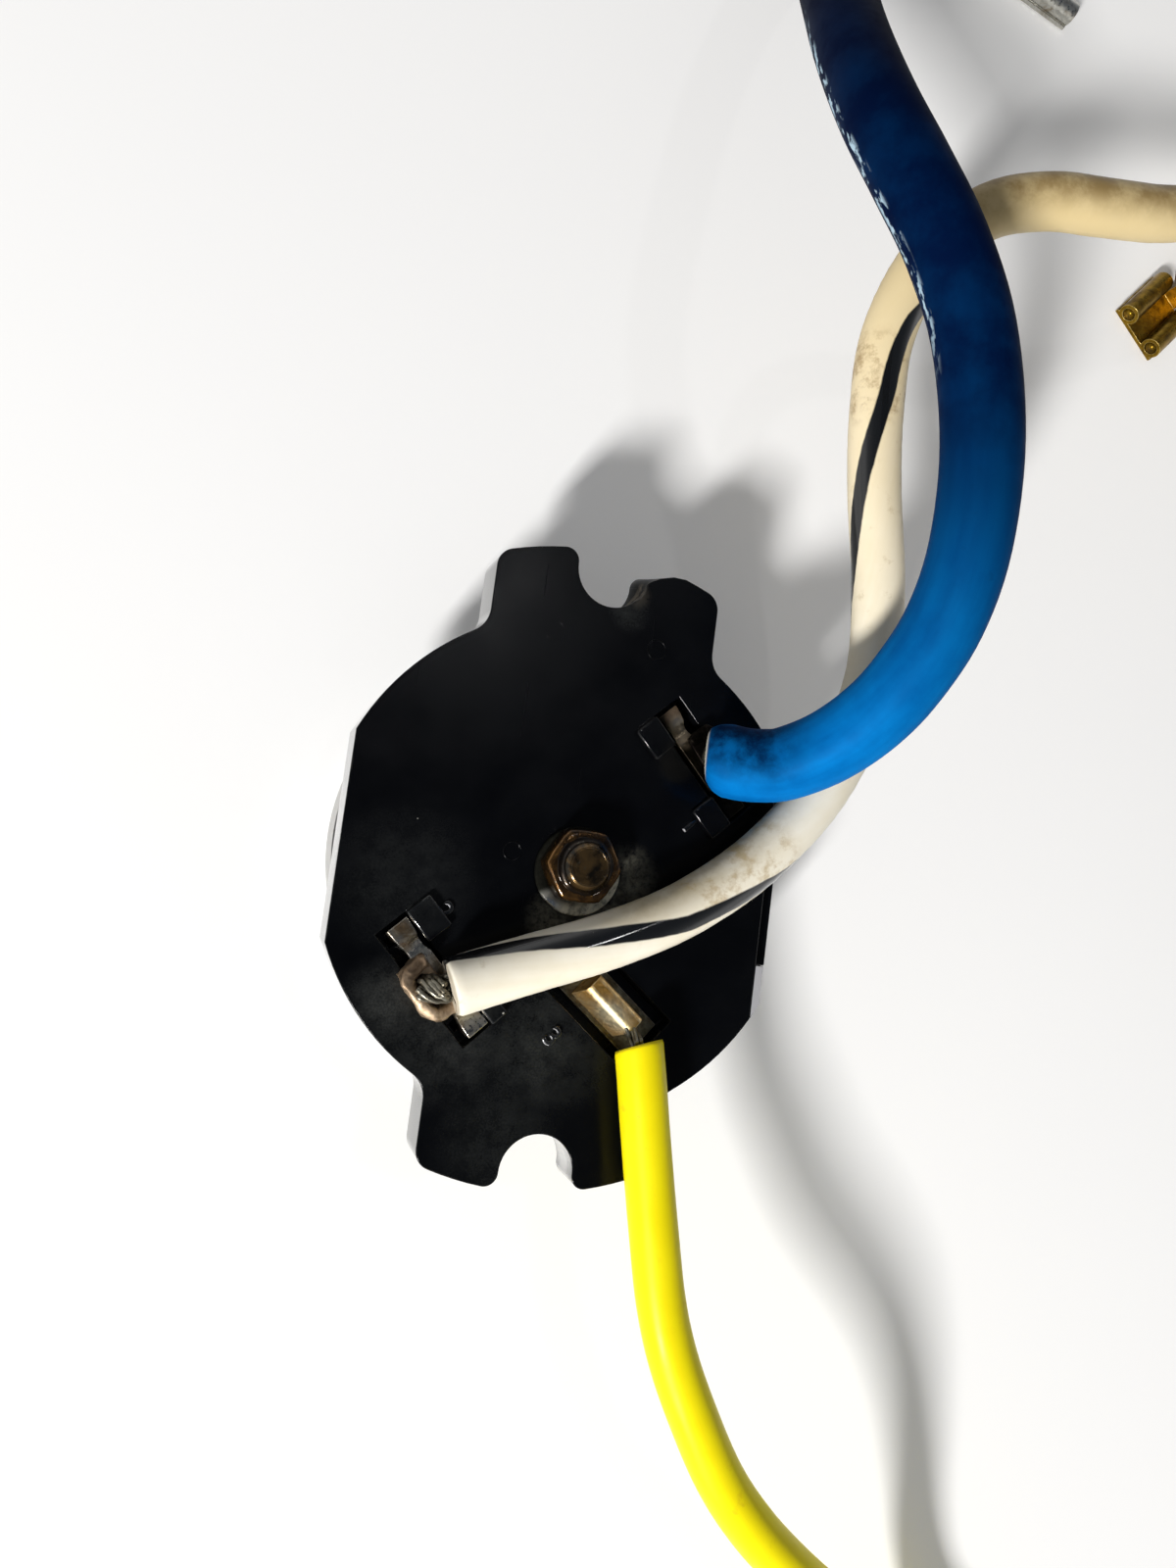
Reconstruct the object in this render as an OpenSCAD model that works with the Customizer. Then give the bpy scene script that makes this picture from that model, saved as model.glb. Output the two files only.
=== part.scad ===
// Round three-lead thermal motor overload protector, lying on its front cover.
// Origin: on the case axis at the front cover's outer face. +Z points out of the
// terminal face, +Y towards the first mounting ear. Millimetres.

/* [Case] */
// Radius of the round moulded case
case_r = 22.6; // [21.5:0.1:26]
// Distance of the side flats beyond the front cover's skirt
flat_margin = 0.35; // [0.2:0.05:1]
// Width of the step along the right flat
step_w = 1.7; // [0.8:0.05:2]
// Height of the terminal face above the front
face_h = 15; // [14:0.5:20]
// Thickness of the flange and its ears
flange_t = 4.8; // [4:0.2:6]
// Thickness of the moulded floor between the terminals and the switch chamber
floor_t = 4; // [3.6:0.1:4.6]
// Outside radius of the cup under the flange
cup_r = 19.8; // [19.6:0.1:20.2]
// Wall of the cup
cup_wall = 1.6; // [1.2:0.1:1.7]
// Length of the raised middle of the step
tab_len = 14.4; // [10:0.2:16]
// Depth of the step's middle below the terminal face
tab_drop = 1.5; // [1:0.1:1.8]
// Depth of the step's ends below the terminal face
step_drop = 2.1; // [2:0.1:3]

/* [Ears] */
// Width of each mounting ear
ear_w = 21.6; // [18:0.2:24]
// Radius of the ears' outer ends about the case axis
ear_end_r = 28.65; // [28.2:0.05:30]
// Distance between the two screw slots
slot_spacing = 54; // [53:0.5:55]
// Width of each screw slot
slot_w = 6.7; // [5:0.1:7.2]
// Radius of the ears' outer corners
ear_corner_r = 1.8; // [1:0.1:2.5]
// Radius of the corners beside each slot
slot_corner_r = 1.2; // [0.8:0.1:1.4]
// Radius of the fillets where the ears join the case
ear_root_r = 2.5; // [1.5:0.1:3]

/* [Terminals] */
// Metal left between the legs of terminals 1 and 2 and their contact plates' rims
leg_wall = 0.25; // [0.2:0.05:0.6]
// Overall length of terminal strips 1 and 2
strip_len = 10; // [9:0.1:10.2]
// Width of terminal strips 1 and 2
strip_w = 2.4; // [2:0.1:2.6]
// Thickness of the terminal metal
metal_t = 0.7; // [0.5:0.05:0.8]
// Depth of the terminal pockets in the face
pocket_d = 1.8; // [1.6:0.1:2]
// Length of the pockets of terminals 1 and 2
pocket_len = 12.4; // [11.4:0.1:12.6]
// Width of the pockets of terminals 1 and 2
pocket_w = 3.2; // [3:0.1:3.4]
// Length of each weld nest along its strip
nest_len = 5.6; // [5:0.1:6]
// Depth of each weld nest from its open side to its back wall
nest_depth = 3; // [2.8:0.1:3.2]
// Height of the weld nests' walls
nest_h = 2.3; // [1.8:0.1:2.6]
// Distance from the chamber's wall in to the middle of terminal 3
strip3_inset = 5.4; // [5:0.1:5.8]
// Length of terminal strip 3
strip3_len = 10.4; // [9.6:0.1:10.6]
// Width of terminal strip 3
strip3_w = 4.1; // [3.4:0.1:4.6]
// Length of the crimp barrel on terminal 3
barrel_len = 5.7; // [5:0.1:6]
// Width of the crimp barrel on terminal 3
barrel_w = 2.3; // [2:0.1:2.8]
// Height of the crimp barrel on terminal 3
barrel_h = 2.7; // [2.4:0.1:3]

/* [Centre screw] */
// Diameter of the calibrating screw
screw_d = 4.17; // [3.5:0.01:4.8]
// Height of the screw's end above the terminal face
screw_proud = 3.8; // [3.2:0.1:5]
// Diameter of the screw's head inside the case
screw_head_d = 7; // [6:0.1:8]
// Height of the screw's head
screw_head_h = 2.2; // [1.8:0.1:2.4]
// Width of the nut across its flats
nut_af = 6.35; // [5.8:0.05:8]
// Height of the nut
nut_h = 2.1; // [1.6:0.1:2.4]
// Diameter of the washer under the nut
washer_d = 7.6; // [7:0.1:9]
// Thickness of the washer
washer_t = 0.6; // [0.4:0.1:0.8]
// Diameter of the insulating bush above the disc
bush_d = 7.4; // [6.6:0.1:9]

/* [Snap switch] */
// Room between the snap disc's rim and the chamber's wall
disc_room = 4; // [3.6:0.1:4.4]
// Thickness of the snap disc
disc_t = 0.4; // [0.3:0.05:0.6]
// Height of the disc's rim above its middle
disc_dish = 0.8; // [0.5:0.1:1]
// Travel of the contacts when the disc snaps open
contact_travel = 1; // [0.8:0.1:1.1]
// Distance from the snap disc's rim in to the middle of the contacts
contact_inset = 2.2; // [2.2:0.1:3]
// Diameter of the silver contacts
contact_d = 4.4; // [3.6:0.1:4.6]
// Height of each silver contact
contact_h = 0.8; // [0.6:0.1:0.9]
// Thickness of the contact plates under the case floor
plate_t = 0.8; // [0.6:0.1:0.9]
// Height of the heater ribbon
heater_h = 2.5; // [1.5:0.1:3]
// Thickness of the heater ribbon
heater_t = 0.4; // [0.3:0.05:0.6]

/* [Front cover] */
// Thickness of the drawn steel cover
cover_t = 0.5; // [0.4:0.05:0.8]
// Height of the cover's skirt
cover_h = 5; // [4:0.2:6]
// Thickness of the insulating disc inside the cover
liner_t = 0.4; // [0.3:0.05:0.6]
// Radius of the cover's snap bead
bead_r = 0.5; // [0.4:0.05:0.6]

/* [Leads] */
// Diameter of the blue lead
blue_d = 6.6; // [5:0.1:7]
// Diameter of the white lead
white_d = 5; // [4:0.1:5.2]
// Diameter of the yellow lead
yellow_d = 4.4; // [3.6:0.1:4.6]
// Length of the lead terminals' push-on part
tab_socket_len = 8; // [6:0.5:10]
// Width of the lead terminals' push-on part
tab_socket_w = 7.8; // [6:0.2:9]
// Thickness of the lead terminals' metal
lug_t = 0.5; // [0.4:0.05:0.6]

/* [Hidden] */
$fn = 96;
// Gap between pieces that are pushed or set into each other
fit_gap = 0.05;
// Running gap around the screw
screw_gap = 0.1;
// Gap between the contact plates' rims and the chamber's wall
plate_gap = 0.15;
// Overrun of cuts past the faces they open
cut = 0.5;

chamber_r = cup_r - cup_wall;
plate_out = chamber_r - plate_gap;
leg_corner = [strip_len / 2 + fit_gap, strip_w / 2 + fit_gap];
strip_r = sqrt(pow(plate_out - leg_wall, 2) - pow(leg_corner[0], 2)) - leg_corner[1];
disc_r = chamber_r - disc_room;
contact_r = disc_r - contact_inset;
chamber_top = face_h - floor_t;
cup_bottom = cover_t + liner_t;
slot_y = slot_spacing / 2;
slot_r = slot_w / 2;
ear_half = ear_w / 2;

// Terminals 1 and 2 lie across the diagonal, terminal 3 beside terminal 2
terminal_turn = [45, 225];
terminal3_side = -68.45;
terminal3_at = (chamber_r - strip3_inset) * [cos(terminal3_side), sin(terminal3_side)];
terminal3_turn = -38.5;
pocket3_w = strip3_w + 2;
pocket3_len = strip3_len + 0.8;
strip_bed = face_h - pocket_d;
strip_rise = face_h + 0.1 - metal_t;
strip_end_z = face_h - 0.3 - metal_t;
leg_bottom = chamber_top - plate_t;
nest_bottom = strip_rise + metal_t;
nest_out = 1;
barrel_t = 0.5;
barrel_bore = barrel_w - 2 * barrel_t;

// Raised blocks on the inner side of terminals 1 and 2
block_len = 3;
block_w = 1.6;
block_h = 0.6;

// Contacts, disc and screw, from the chamber's roof down
plate_bottom = chamber_top - plate_t;
fixed_bottom = plate_bottom - contact_h;
closing_gap = 0.05;
moving_top = fixed_bottom - closing_gap;
disc_top_at_contact = moving_top - contact_h;
disc_bore_r = screw_d / 2 + 0.5;
disc_slope = disc_dish / (contact_r - disc_bore_r);
disc_mid_top = disc_top_at_contact - disc_dish;
disc_clear = 0.4;
head_top = disc_mid_top - disc_t - contact_travel - disc_clear;
head_bottom = head_top - screw_head_h;
bush_bottom = disc_mid_top + 0.1;
screw_top = face_h + screw_proud;
plate_half = strip_len / 2 + 0.8;
plate_in = contact_r - contact_d / 2 - 0.4;

// Heater ribbon round the disc, and the two posts that carry it
heater_r = disc_r + 1.1;
heater_z = 3;
post_w = 2;
post_t = 0.8;
post_turn_2 = 225;
post_turn_3 = 278;
heater_sweep = 360 - (post_turn_3 - post_turn_2);
strap3_w = 3;

// Cover skirt and the groove that its bead snaps into
skirt_gap = 0.1;
skirt_in = cup_r + skirt_gap;
skirt_out = skirt_in + cover_t;
flat_x = skirt_out + flat_margin;
step_x = flat_x - step_w;
bead_z = cover_h - 1.2;
bead_in = 0.25;

// Routes of the leads along their middles, from the terminals outwards
blue_route = [
    [12.7, 11.1, 17.8], [14.3, 11.0, 19.4], [16.3, 11.4, 21.2], [18.9, 13.2, 23.9], [21.1, 16.0, 26.7],
    [22.6, 19.3, 29.1], [23.8, 24.0, 31.6], [24.0, 30.0, 33.7], [23.0, 38.0, 35.2], [20.7, 46.4, 35.7],
    [17.5, 53.0, 35.4], [14.3, 58.8, 34.2], [12.1, 65.0, 31.8], [11.3, 73.0, 27.8], [11.5, 81.0, 23.6],
    [12.2, 90.0, 18.6], [14.0, 99.0, 13.3], [17.5, 107.5, 8.6], [23.0, 115.3, 5.2], [30.0, 120.0, 4.0],
    [37.4, 121.2, 4.0], [44.9, 119.6, 4.0]
];
white_route = [
    [-10.4, -11.4, 17.8], [-7.0, -10.0, 17.9], [-3.5, -8.6, 18.0], [3.0, -6.0, 18.2], [10.0, -2.3, 18.3],
    [17.0, 3.5, 18.3], [22.8, 11.4, 18.3], [25.9, 21.2, 18.4], [25.2, 30.0, 19.0], [23.1, 38.6, 19.9],
    [21.7, 45.8, 21.0], [21.2, 52.6, 22.4], [23.3, 59.6, 24.2], [27.8, 64.6, 26.0], [33.6, 67.0, 27.2],
    [40.2, 68.2, 27.8], [47.0, 69.8, 28.0], [56.4, 73.7, 27.9], [65.8, 78.0, 27.4], [74.5, 83.4, 26.4],
    [81.9, 90.15, 25.1], [84.6, 93.4, 24.2], [87.0, 96.1, 21.9], [88.5, 97.9, 18.3], [89.0, 98.5, 14.1],
    [88.5, 97.9, 9.9], [87.0, 96.1, 6.3], [84.6, 93.4, 3.9], [81.9, 90.15, 3.1], [78.35, 85.96, 3.1]
];
yellow_route = [
    [7.2, -15.0, 17.3], [7.8, -18.0, 17.5], [8.6, -22.0, 17.6], [9.5, -26.4, 17.8], [10.5, -31.2, 18.1],
    [11.7, -36.4, 18.4], [13.3, -41.0, 18.7], [15.7, -45.8, 19.0], [19.0, -51.2, 19.1], [22.8, -55.6, 19.1],
    [27.3, -59.6, 18.8], [32.6, -63.8, 17.6], [38.0, -68.2, 15.2], [43.4, -72.6, 11.6], [48.8, -76.6, 7.4],
    [54.4, -80.0, 4.2], [60.4, -82.9, 2.8], [66.8, -85.9, 2.8]
];
// Bare ends of the conductors, from inside their terminals to the insulation
blue_strands = [[11.2, 11.2, 16.4], [11.9, 11.1, 17.0], [12.7, 11.1, 17.8]];
white_strands = [[-13.3, -12.4, 16.6], [-11.8, -11.9, 17.2], [-10.4, -11.4, 17.8]];
yellow_strands = [[5.3, -12.6, 15.6], [6.6, -13.8, 16.0], [7.2, -15.0, 17.3]];
strand_share = 0.5;
tube_sides = 8;
lug_grip = 5;
lug_neck = 3;

function unit(v) = v / norm(v);

// Directions along a route, averaged at each inner point
function route_dirs(p) = [
    for (i = [0 : len(p) - 1])
        unit(p[min(i + 1, len(p) - 1)] - p[max(i - 1, 0)])
];

// A side vector carried along the route without twisting
function carry(d, n, i = 0) =
    i == len(d) ? [] : let (m = unit(n - (n * d[i]) * d[i])) concat([m], carry(d, m, i + 1));

// Tube swept along a route, with flat ends
module route_tube(p, d) {
    dirs = route_dirs(p);
    sides = carry(dirs, [0.1, 1, 0.2]);
    n = tube_sides;
    rings = len(p);
    points = [
        for (i = [0 : rings - 1], k = [0 : n - 1])
            p[i] + d / 2 * (cos(360 * k / n) * sides[i] + sin(360 * k / n) * cross(dirs[i], sides[i]))
    ];
    walls = [
        for (i = [0 : rings - 2], k = [0 : n - 1], half = [0, 1])
            half == 0
                ? [i * n + k, (i + 1) * n + k, i * n + (k + 1) % n]
                : [i * n + (k + 1) % n, (i + 1) * n + k, (i + 1) * n + (k + 1) % n]
    ];
    caps = [[for (k = [0 : n - 1]) k], [for (k = [n - 1 : -1 : 0]) (rings - 1) * n + k]];
    polyhedron(points, concat(walls, caps));
}

// Place something at terminal 1 or 2: X along the strip, Y outwards from the axis
module at_terminal(turn) {
    rotate(turn - 90)
        translate([0, strip_r, 0])
            children();
}

module at_terminal_3() {
    translate(terminal3_at)
        rotate(terminal3_turn)
            children();
}

// What rounding takes off an outer corner between the line x and the arc of radius r.
// side 1 keeps the metal at smaller x, side -1 at larger x.
module outer_corner(x, r, fillet, side) {
    centre_x = x - side * fillet;
    centre_y = sqrt(pow(r - fillet, 2) - pow(centre_x, 2));
    reach = (r + cut) / (r - fillet);
    difference() {
        polygon([
            [centre_x, centre_y],
            [x + side * cut, centre_y],
            [x + side * cut, r + cut],
            [centre_x * reach, r + cut],
            [centre_x * reach, centre_y * reach]
        ]);
        translate([centre_x, centre_y])
            circle(r = fillet);
    }
}

// What a fillet adds in the inner corner between the line x and the arc of radius r
module inner_corner(x, r, fillet) {
    centre_x = x + fillet;
    centre_y = sqrt(pow(r + fillet, 2) - pow(centre_x, 2));
    touch = r / (r + fillet);
    difference() {
        polygon([
            [x - cut, centre_y],
            [centre_x, centre_y],
            [centre_x * touch, centre_y * touch],
            [x - cut, centre_y * touch - cut]
        ]);
        translate([centre_x, centre_y])
            circle(r = fillet);
    }
}

module ear_outline() {
    difference() {
        union() {
            intersection() {
                circle(r = ear_end_r);
                translate([-ear_half, 0])
                    square([ear_w, ear_end_r]);
            }
            for (m = [0, 1])
                mirror([m, 0])
                    inner_corner(ear_half, case_r, ear_root_r);
        }
        for (m = [0, 1])
            mirror([m, 0]) {
                outer_corner(ear_half, ear_end_r, ear_corner_r, 1);
                outer_corner(slot_r, ear_end_r, slot_corner_r, -1);
            }
        translate([0, slot_y])
            circle(r = slot_r);
        translate([-slot_r, slot_y])
            square([slot_w, ear_end_r]);
    }
}

module flange_outline() {
    intersection() {
        circle(r = case_r);
        square([2 * flat_x, 2 * case_r], center = true);
    }
    for (turn = [0, 180])
        rotate(turn)
            ear_outline();
}

// Pocket, leg slots and nothing else, cut from the case for terminal 1 or 2
module strip_pocket() {
    translate([-pocket_len / 2, -pocket_w / 2, strip_bed])
        cube([pocket_len, pocket_w, pocket_d + cut]);
    for (m = [0, 1])
        mirror([m, 0, 0])
            leg_slot(strip_len / 2 - metal_t, strip_w, chamber_top - cut, strip_bed + cut);
}

// Slot that lets a strip's leg through
module leg_slot(x, width, z0, z1) {
    translate([x - fit_gap, -width / 2 - fit_gap, z0])
        cube([metal_t + 2 * fit_gap, width + 2 * fit_gap, z1 - z0]);
}

module case_moulding() {
    color("#151518")
        difference() {
            union() {
                translate([0, 0, face_h - flange_t])
                    linear_extrude(flange_t)
                        flange_outline();
                translate([0, 0, cup_bottom])
                    cylinder(r = cup_r, h = face_h - flange_t - cup_bottom + cut);
                for (turn = terminal_turn, m = [0, 1])
                    at_terminal(turn)
                        mirror([m, 0, 0])
                            translate([pocket_len / 2 - block_len, -pocket_w / 2 - block_w, face_h - cut])
                                cube([block_len, block_w, block_h + cut]);
            }
            translate([step_x, -tab_len / 2, face_h - tab_drop])
                cube([flat_x, tab_len, flange_t]);
            for (m = [0, 1])
                mirror([0, m, 0])
                    translate([step_x, tab_len / 2, face_h - step_drop])
                        cube([flat_x, case_r, flange_t]);
            translate([0, 0, cup_bottom - cut])
                cylinder(r = chamber_r, h = chamber_top - cup_bottom + cut);
            translate([0, 0, chamber_top - cut])
                cylinder(d = screw_d + 2 * screw_gap, h = floor_t + 2 * cut);
            translate([0, 0, bead_z])
                rotate_extrude()
                    translate([cup_r + bead_r - bead_in, 0])
                        circle(r = bead_r + fit_gap);
            for (turn = terminal_turn)
                at_terminal(turn)
                    strip_pocket();
            at_terminal_3() {
                translate([-pocket3_len / 2, -pocket3_w / 2, strip_bed])
                    cube([pocket3_len, pocket3_w, pocket_d + cut]);
                mirror([1, 0, 0])
                    leg_slot(strip3_len / 2 - metal_t, strap3_w, chamber_top - cut, strip_bed + cut);
            }
        }
}

module front_cover() {
    color("#9a9b98") {
        difference() {
            cylinder(r = skirt_out, h = cover_h);
            translate([0, 0, cover_t])
                cylinder(r = skirt_in, h = cover_h);
        }
        translate([0, 0, bead_z])
            rotate_extrude()
                intersection() {
                    translate([cup_r + bead_r - bead_in, 0])
                        circle(r = bead_r);
                    translate([cup_r - bead_r, -bead_r])
                        square([skirt_in + fit_gap - cup_r + bead_r, 2 * bead_r]);
                }
    }
}

module cover_liner() {
    color("#8b8f86")
        translate([0, 0, cover_t])
            cylinder(r = cup_r - fit_gap, h = liner_t);
}

// Terminal strip with raised middle, lower ends and two legs through the case floor
module strip_profile() {
    half = strip_len / 2;
    ramp_in = nest_len / 2 - 0.6;
    ramp_out = ramp_in + 0.8;
    right = [
        [ramp_in, strip_rise + metal_t],
        [ramp_out, strip_end_z + metal_t],
        [half, strip_end_z + metal_t],
        [half, leg_bottom],
        [half - metal_t, leg_bottom],
        [half - metal_t, strip_end_z],
        [ramp_out, strip_end_z],
        [ramp_in, strip_rise]
    ];
    left = [for (i = [len(right) - 1 : -1 : 0]) [-right[i][0], right[i][1]]];
    polygon(concat(right, left));
}

module terminal_strip(turn) {
    color("#a89f8c")
        at_terminal(turn)
            translate([0, strip_w / 2, 0])
                rotate([90, 0, 0])
                    linear_extrude(strip_w)
                        strip_profile();
}

module terminal_strip_1() { terminal_strip(terminal_turn[0]); }
module terminal_strip_2() { terminal_strip(terminal_turn[1]); }

module terminal_strip_3() {
    color("#b08a45")
        at_terminal_3() {
            translate([-strip3_len / 2, -strip3_w / 2, strip_bed])
                cube([strip3_len, strip3_w, metal_t]);
            translate([-strip3_len / 2, -strap3_w / 2, leg_bottom])
                cube([metal_t, strap3_w, strip_bed + metal_t - leg_bottom]);
        }
}

// Open-sided nest that the bare strands are welded into: floor, back wall and two end walls
module weld_nest(turn) {
    color("#8a5a3a")
        at_terminal(turn)
            translate([0, nest_out, nest_bottom])
                difference() {
                    translate([-nest_len / 2, -nest_depth / 2, 0])
                        cube([nest_len, nest_depth, nest_h]);
                    translate([metal_t - nest_len / 2, -nest_depth / 2 - cut, metal_t])
                        cube([nest_len - 2 * metal_t, nest_depth - metal_t + cut, nest_h]);
                }
}

module weld_nest_1() { weld_nest(terminal_turn[0]); }
module weld_nest_2() { weld_nest(terminal_turn[1]); }

// Folded barrel on terminal 3, with the conductor's way in at its outer end
module crimp_barrel_3() {
    color("#c79a3f")
        at_terminal_3()
            translate([-barrel_len / 2, 0, strip_bed + metal_t])
                difference() {
                    translate([0, -barrel_w / 2, 0])
                        cube([barrel_len, barrel_w, barrel_h]);
                    translate([barrel_t, -barrel_bore / 2, barrel_t])
                        cube([barrel_len, barrel_bore, barrel_h - 2 * barrel_t]);
                }
}

// Plate on the chamber's roof, clinched to a strip's legs and carrying a fixed contact
module contact_plate(turn) {
    color("#b58b45")
        difference() {
            translate([0, 0, plate_bottom])
                linear_extrude(plate_t)
                    intersection() {
                        circle(r = plate_out);
                        rotate(turn - 90)
                            translate([-plate_half, plate_in])
                                square([2 * plate_half, plate_out - plate_in]);
                    }
            for (m = [0, 1])
                at_terminal(turn)
                    mirror([m, 0, 0])
                        leg_slot(strip_len / 2 - metal_t, strip_w, plate_bottom - cut, chamber_top + cut);
        }
}

// Post that hangs from the chamber's roof to the heater ribbon
module heater_post(turn) {
    rotate(turn)
        translate([heater_r, -post_w / 2, heater_z])
            cube([post_t, post_w, chamber_top - heater_z]);
}

module contact_plate_1() { contact_plate(terminal_turn[0]); }

module contact_plate_2() {
    contact_plate(terminal_turn[1]);
    color("#b58b45")
        heater_post(post_turn_2);
}

// Strap from terminal 3's leg to the heater's other end
module heater_strap() {
    leg = [-strip3_len / 2 + metal_t / 2, 0];
    reach = heater_r + post_t;
    color("#b58b45")
        difference() {
            union() {
                translate([0, 0, plate_bottom])
                    linear_extrude(plate_t) {
                        rotate(post_turn_3)
                            translate([terminal3_inner(), -post_w / 2])
                                square([reach - terminal3_inner(), post_w]);
                        translate(terminal3_at)
                            rotate(terminal3_turn)
                                translate(leg)
                                    square([strap3_w, strap3_w + 2 * metal_t], center = true);
                    }
                heater_post(post_turn_3);
            }
            at_terminal_3()
                mirror([1, 0, 0])
                    leg_slot(strip3_len / 2 - metal_t, strap3_w, plate_bottom - cut, chamber_top + cut);
        }
}

// Distance of terminal 3's leg from the axis
function terminal3_inner() =
    norm(terminal3_at - (strip3_len / 2 - metal_t / 2) * [cos(terminal3_turn), sin(terminal3_turn)]);

module fixed_contact(turn) {
    color("#d8d8d2")
        rotate(turn)
            translate([contact_r, 0, fixed_bottom])
                cylinder(d = contact_d, h = contact_h);
}

module fixed_contact_1() { fixed_contact(terminal_turn[0]); }
module fixed_contact_2() { fixed_contact(terminal_turn[1]); }

// Height of the disc's upper face at a distance from the axis
function disc_top(r) = disc_mid_top + disc_slope * (r - disc_bore_r);

module snap_disc() {
    color("#a9a39a")
        rotate_extrude()
            polygon([
                [disc_bore_r, disc_top(disc_bore_r) - disc_t],
                [disc_r, disc_top(disc_r) - disc_t],
                [disc_r, disc_top(disc_r)],
                [disc_bore_r, disc_top(disc_bore_r)]
            ]);
}

// Silver rivets through the disc, their heads facing the fixed contacts
module moving_contacts() {
    stem_d = contact_d / 2;
    color("#dcdcd6")
        for (turn = terminal_turn)
            rotate(turn)
                translate([contact_r, 0, 0]) {
                    translate([0, 0, moving_top - contact_h])
                        cylinder(d = contact_d, h = contact_h);
                    translate([0, 0, disc_top_at_contact - disc_t - contact_h / 2])
                        cylinder(d = stem_d, h = disc_t + contact_h);
                }
}

module heater_ribbon() {
    color("#6f6a66")
        rotate(post_turn_3)
            translate([0, 0, heater_z])
                rotate_extrude(angle = heater_sweep)
                    translate([heater_r - heater_t / 2, 0])
                        square([heater_t, heater_h]);
}

module calibrating_screw() {
    tip = 0.4;
    slot = [1, 1.1];
    color("#7a5a30")
        difference() {
            union() {
                translate([0, 0, head_bottom])
                    cylinder(d = screw_head_d, h = screw_head_h);
                translate([0, 0, head_top])
                    cylinder(d = screw_d, h = screw_top - tip - head_top);
                translate([0, 0, screw_top - tip])
                    cylinder(d1 = screw_d, d2 = screw_d - 2 * tip, h = tip);
            }
            translate([-screw_head_d / 2 - cut, -slot[0] / 2, head_bottom - cut])
                cube([screw_head_d + 2 * cut, slot[0], slot[1] + cut]);
        }
}

module insulating_bush() {
    color("#e6e0d2")
        translate([0, 0, bush_bottom])
            difference() {
                cylinder(d = bush_d, h = chamber_top - bush_bottom);
                translate([0, 0, -cut])
                    cylinder(d = screw_d + 2 * screw_gap, h = chamber_top - bush_bottom + 2 * cut);
            }
}

module flat_washer() {
    color("#6d6a62")
        translate([0, 0, face_h])
            difference() {
                cylinder(d = washer_d, h = washer_t);
                translate([0, 0, -cut])
                    cylinder(d = screw_d + 2 * screw_gap, h = washer_t + 2 * cut);
            }
}

module lock_nut() {
    corner_d = nut_af / cos(30);
    color("#6b4d25")
        translate([0, 0, face_h + washer_t])
            difference() {
                intersection() {
                    cylinder(d = corner_d, h = nut_h, $fn = 6);
                    union() {
                        cylinder(d = corner_d + cut, h = nut_h / 2);
                        translate([0, 0, nut_h / 2])
                            cylinder(d1 = corner_d + nut_h / 2, d2 = nut_af, h = nut_h / 2);
                    }
                }
                translate([0, 0, -cut])
                    cylinder(d = screw_d + 2 * fit_gap, h = nut_h + 2 * cut);
            }
}

module blue_conductor() { color("#c9b79a") route_tube(blue_strands, strand_share * blue_d); }
module white_conductor() { color("#b9b6ae") route_tube(white_strands, strand_share * white_d); }
module yellow_conductor() { color("#b9b6ae") route_tube(yellow_strands, barrel_bore); }
module blue_lead() { color("#1463a8") route_tube(blue_route, blue_d); }
module white_lead() { color("#d9cfae") route_tube(white_route, white_d); }
module yellow_lead() { color("#f2dc10") route_tube(yellow_route, yellow_d); }

// Push-on terminal at a lead's end: a grip round the insulation, a neck and a rolled socket
module lead_terminal(route, d) {
    last = len(route) - 1;
    end = route[last];
    along = end - route[last - 1];
    grip_r = d / 2 + fit_gap + lug_t;
    roll_r = 1.3;
    translate(end)
        rotate(atan2(along[1], along[0])) {
            rotate([0, 90, 0])
                difference() {
                    translate([0, 0, -lug_grip])
                        cylinder(r = grip_r, h = lug_grip + lug_t);
                    translate([0, 0, -lug_grip - cut])
                        cylinder(r = grip_r - lug_t, h = lug_grip + cut);
                }
            translate([lug_t - fit_gap, -d / 4, -grip_r])
                cube([lug_neck + 2 * fit_gap, d / 2, grip_r]);
            translate([lug_t + lug_neck, 0, -grip_r]) {
                translate([0, -tab_socket_w / 2, 0])
                    cube([tab_socket_len, tab_socket_w, lug_t]);
                for (m = [0, 1])
                    mirror([0, m, 0])
                        translate([0, tab_socket_w / 2 - roll_r, roll_r])
                            rotate([0, 90, 0])
                                difference() {
                                    cylinder(r = roll_r, h = tab_socket_len);
                                    translate([0, 0, -cut])
                                        cylinder(r = roll_r - lug_t, h = tab_socket_len + 2 * cut);
                                }
            }
        }
}

module blue_lead_terminal() { color("#9c9c98") lead_terminal(blue_route, blue_d); }
module white_lead_terminal() { color("#b08a3a") lead_terminal(white_route, white_d); }
module yellow_lead_terminal() { color("#b08a3a") lead_terminal(yellow_route, yellow_d); }

case_moulding();
front_cover();
cover_liner();
terminal_strip_1();
terminal_strip_2();
terminal_strip_3();
weld_nest_1();
weld_nest_2();
crimp_barrel_3();
contact_plate_1();
contact_plate_2();
heater_strap();
fixed_contact_1();
fixed_contact_2();
moving_contacts();
snap_disc();
heater_ribbon();
calibrating_screw();
insulating_bush();
flat_washer();
lock_nut();
blue_conductor();
white_conductor();
yellow_conductor();
blue_lead();
white_lead();
yellow_lead();
blue_lead_terminal();
white_lead_terminal();
yellow_lead_terminal();
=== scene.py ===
import math
import random

import bmesh
import bpy
from mathutils import Matrix, Quaternion, Vector, noise
from mathutils.geometry import interpolate_bezier


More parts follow.
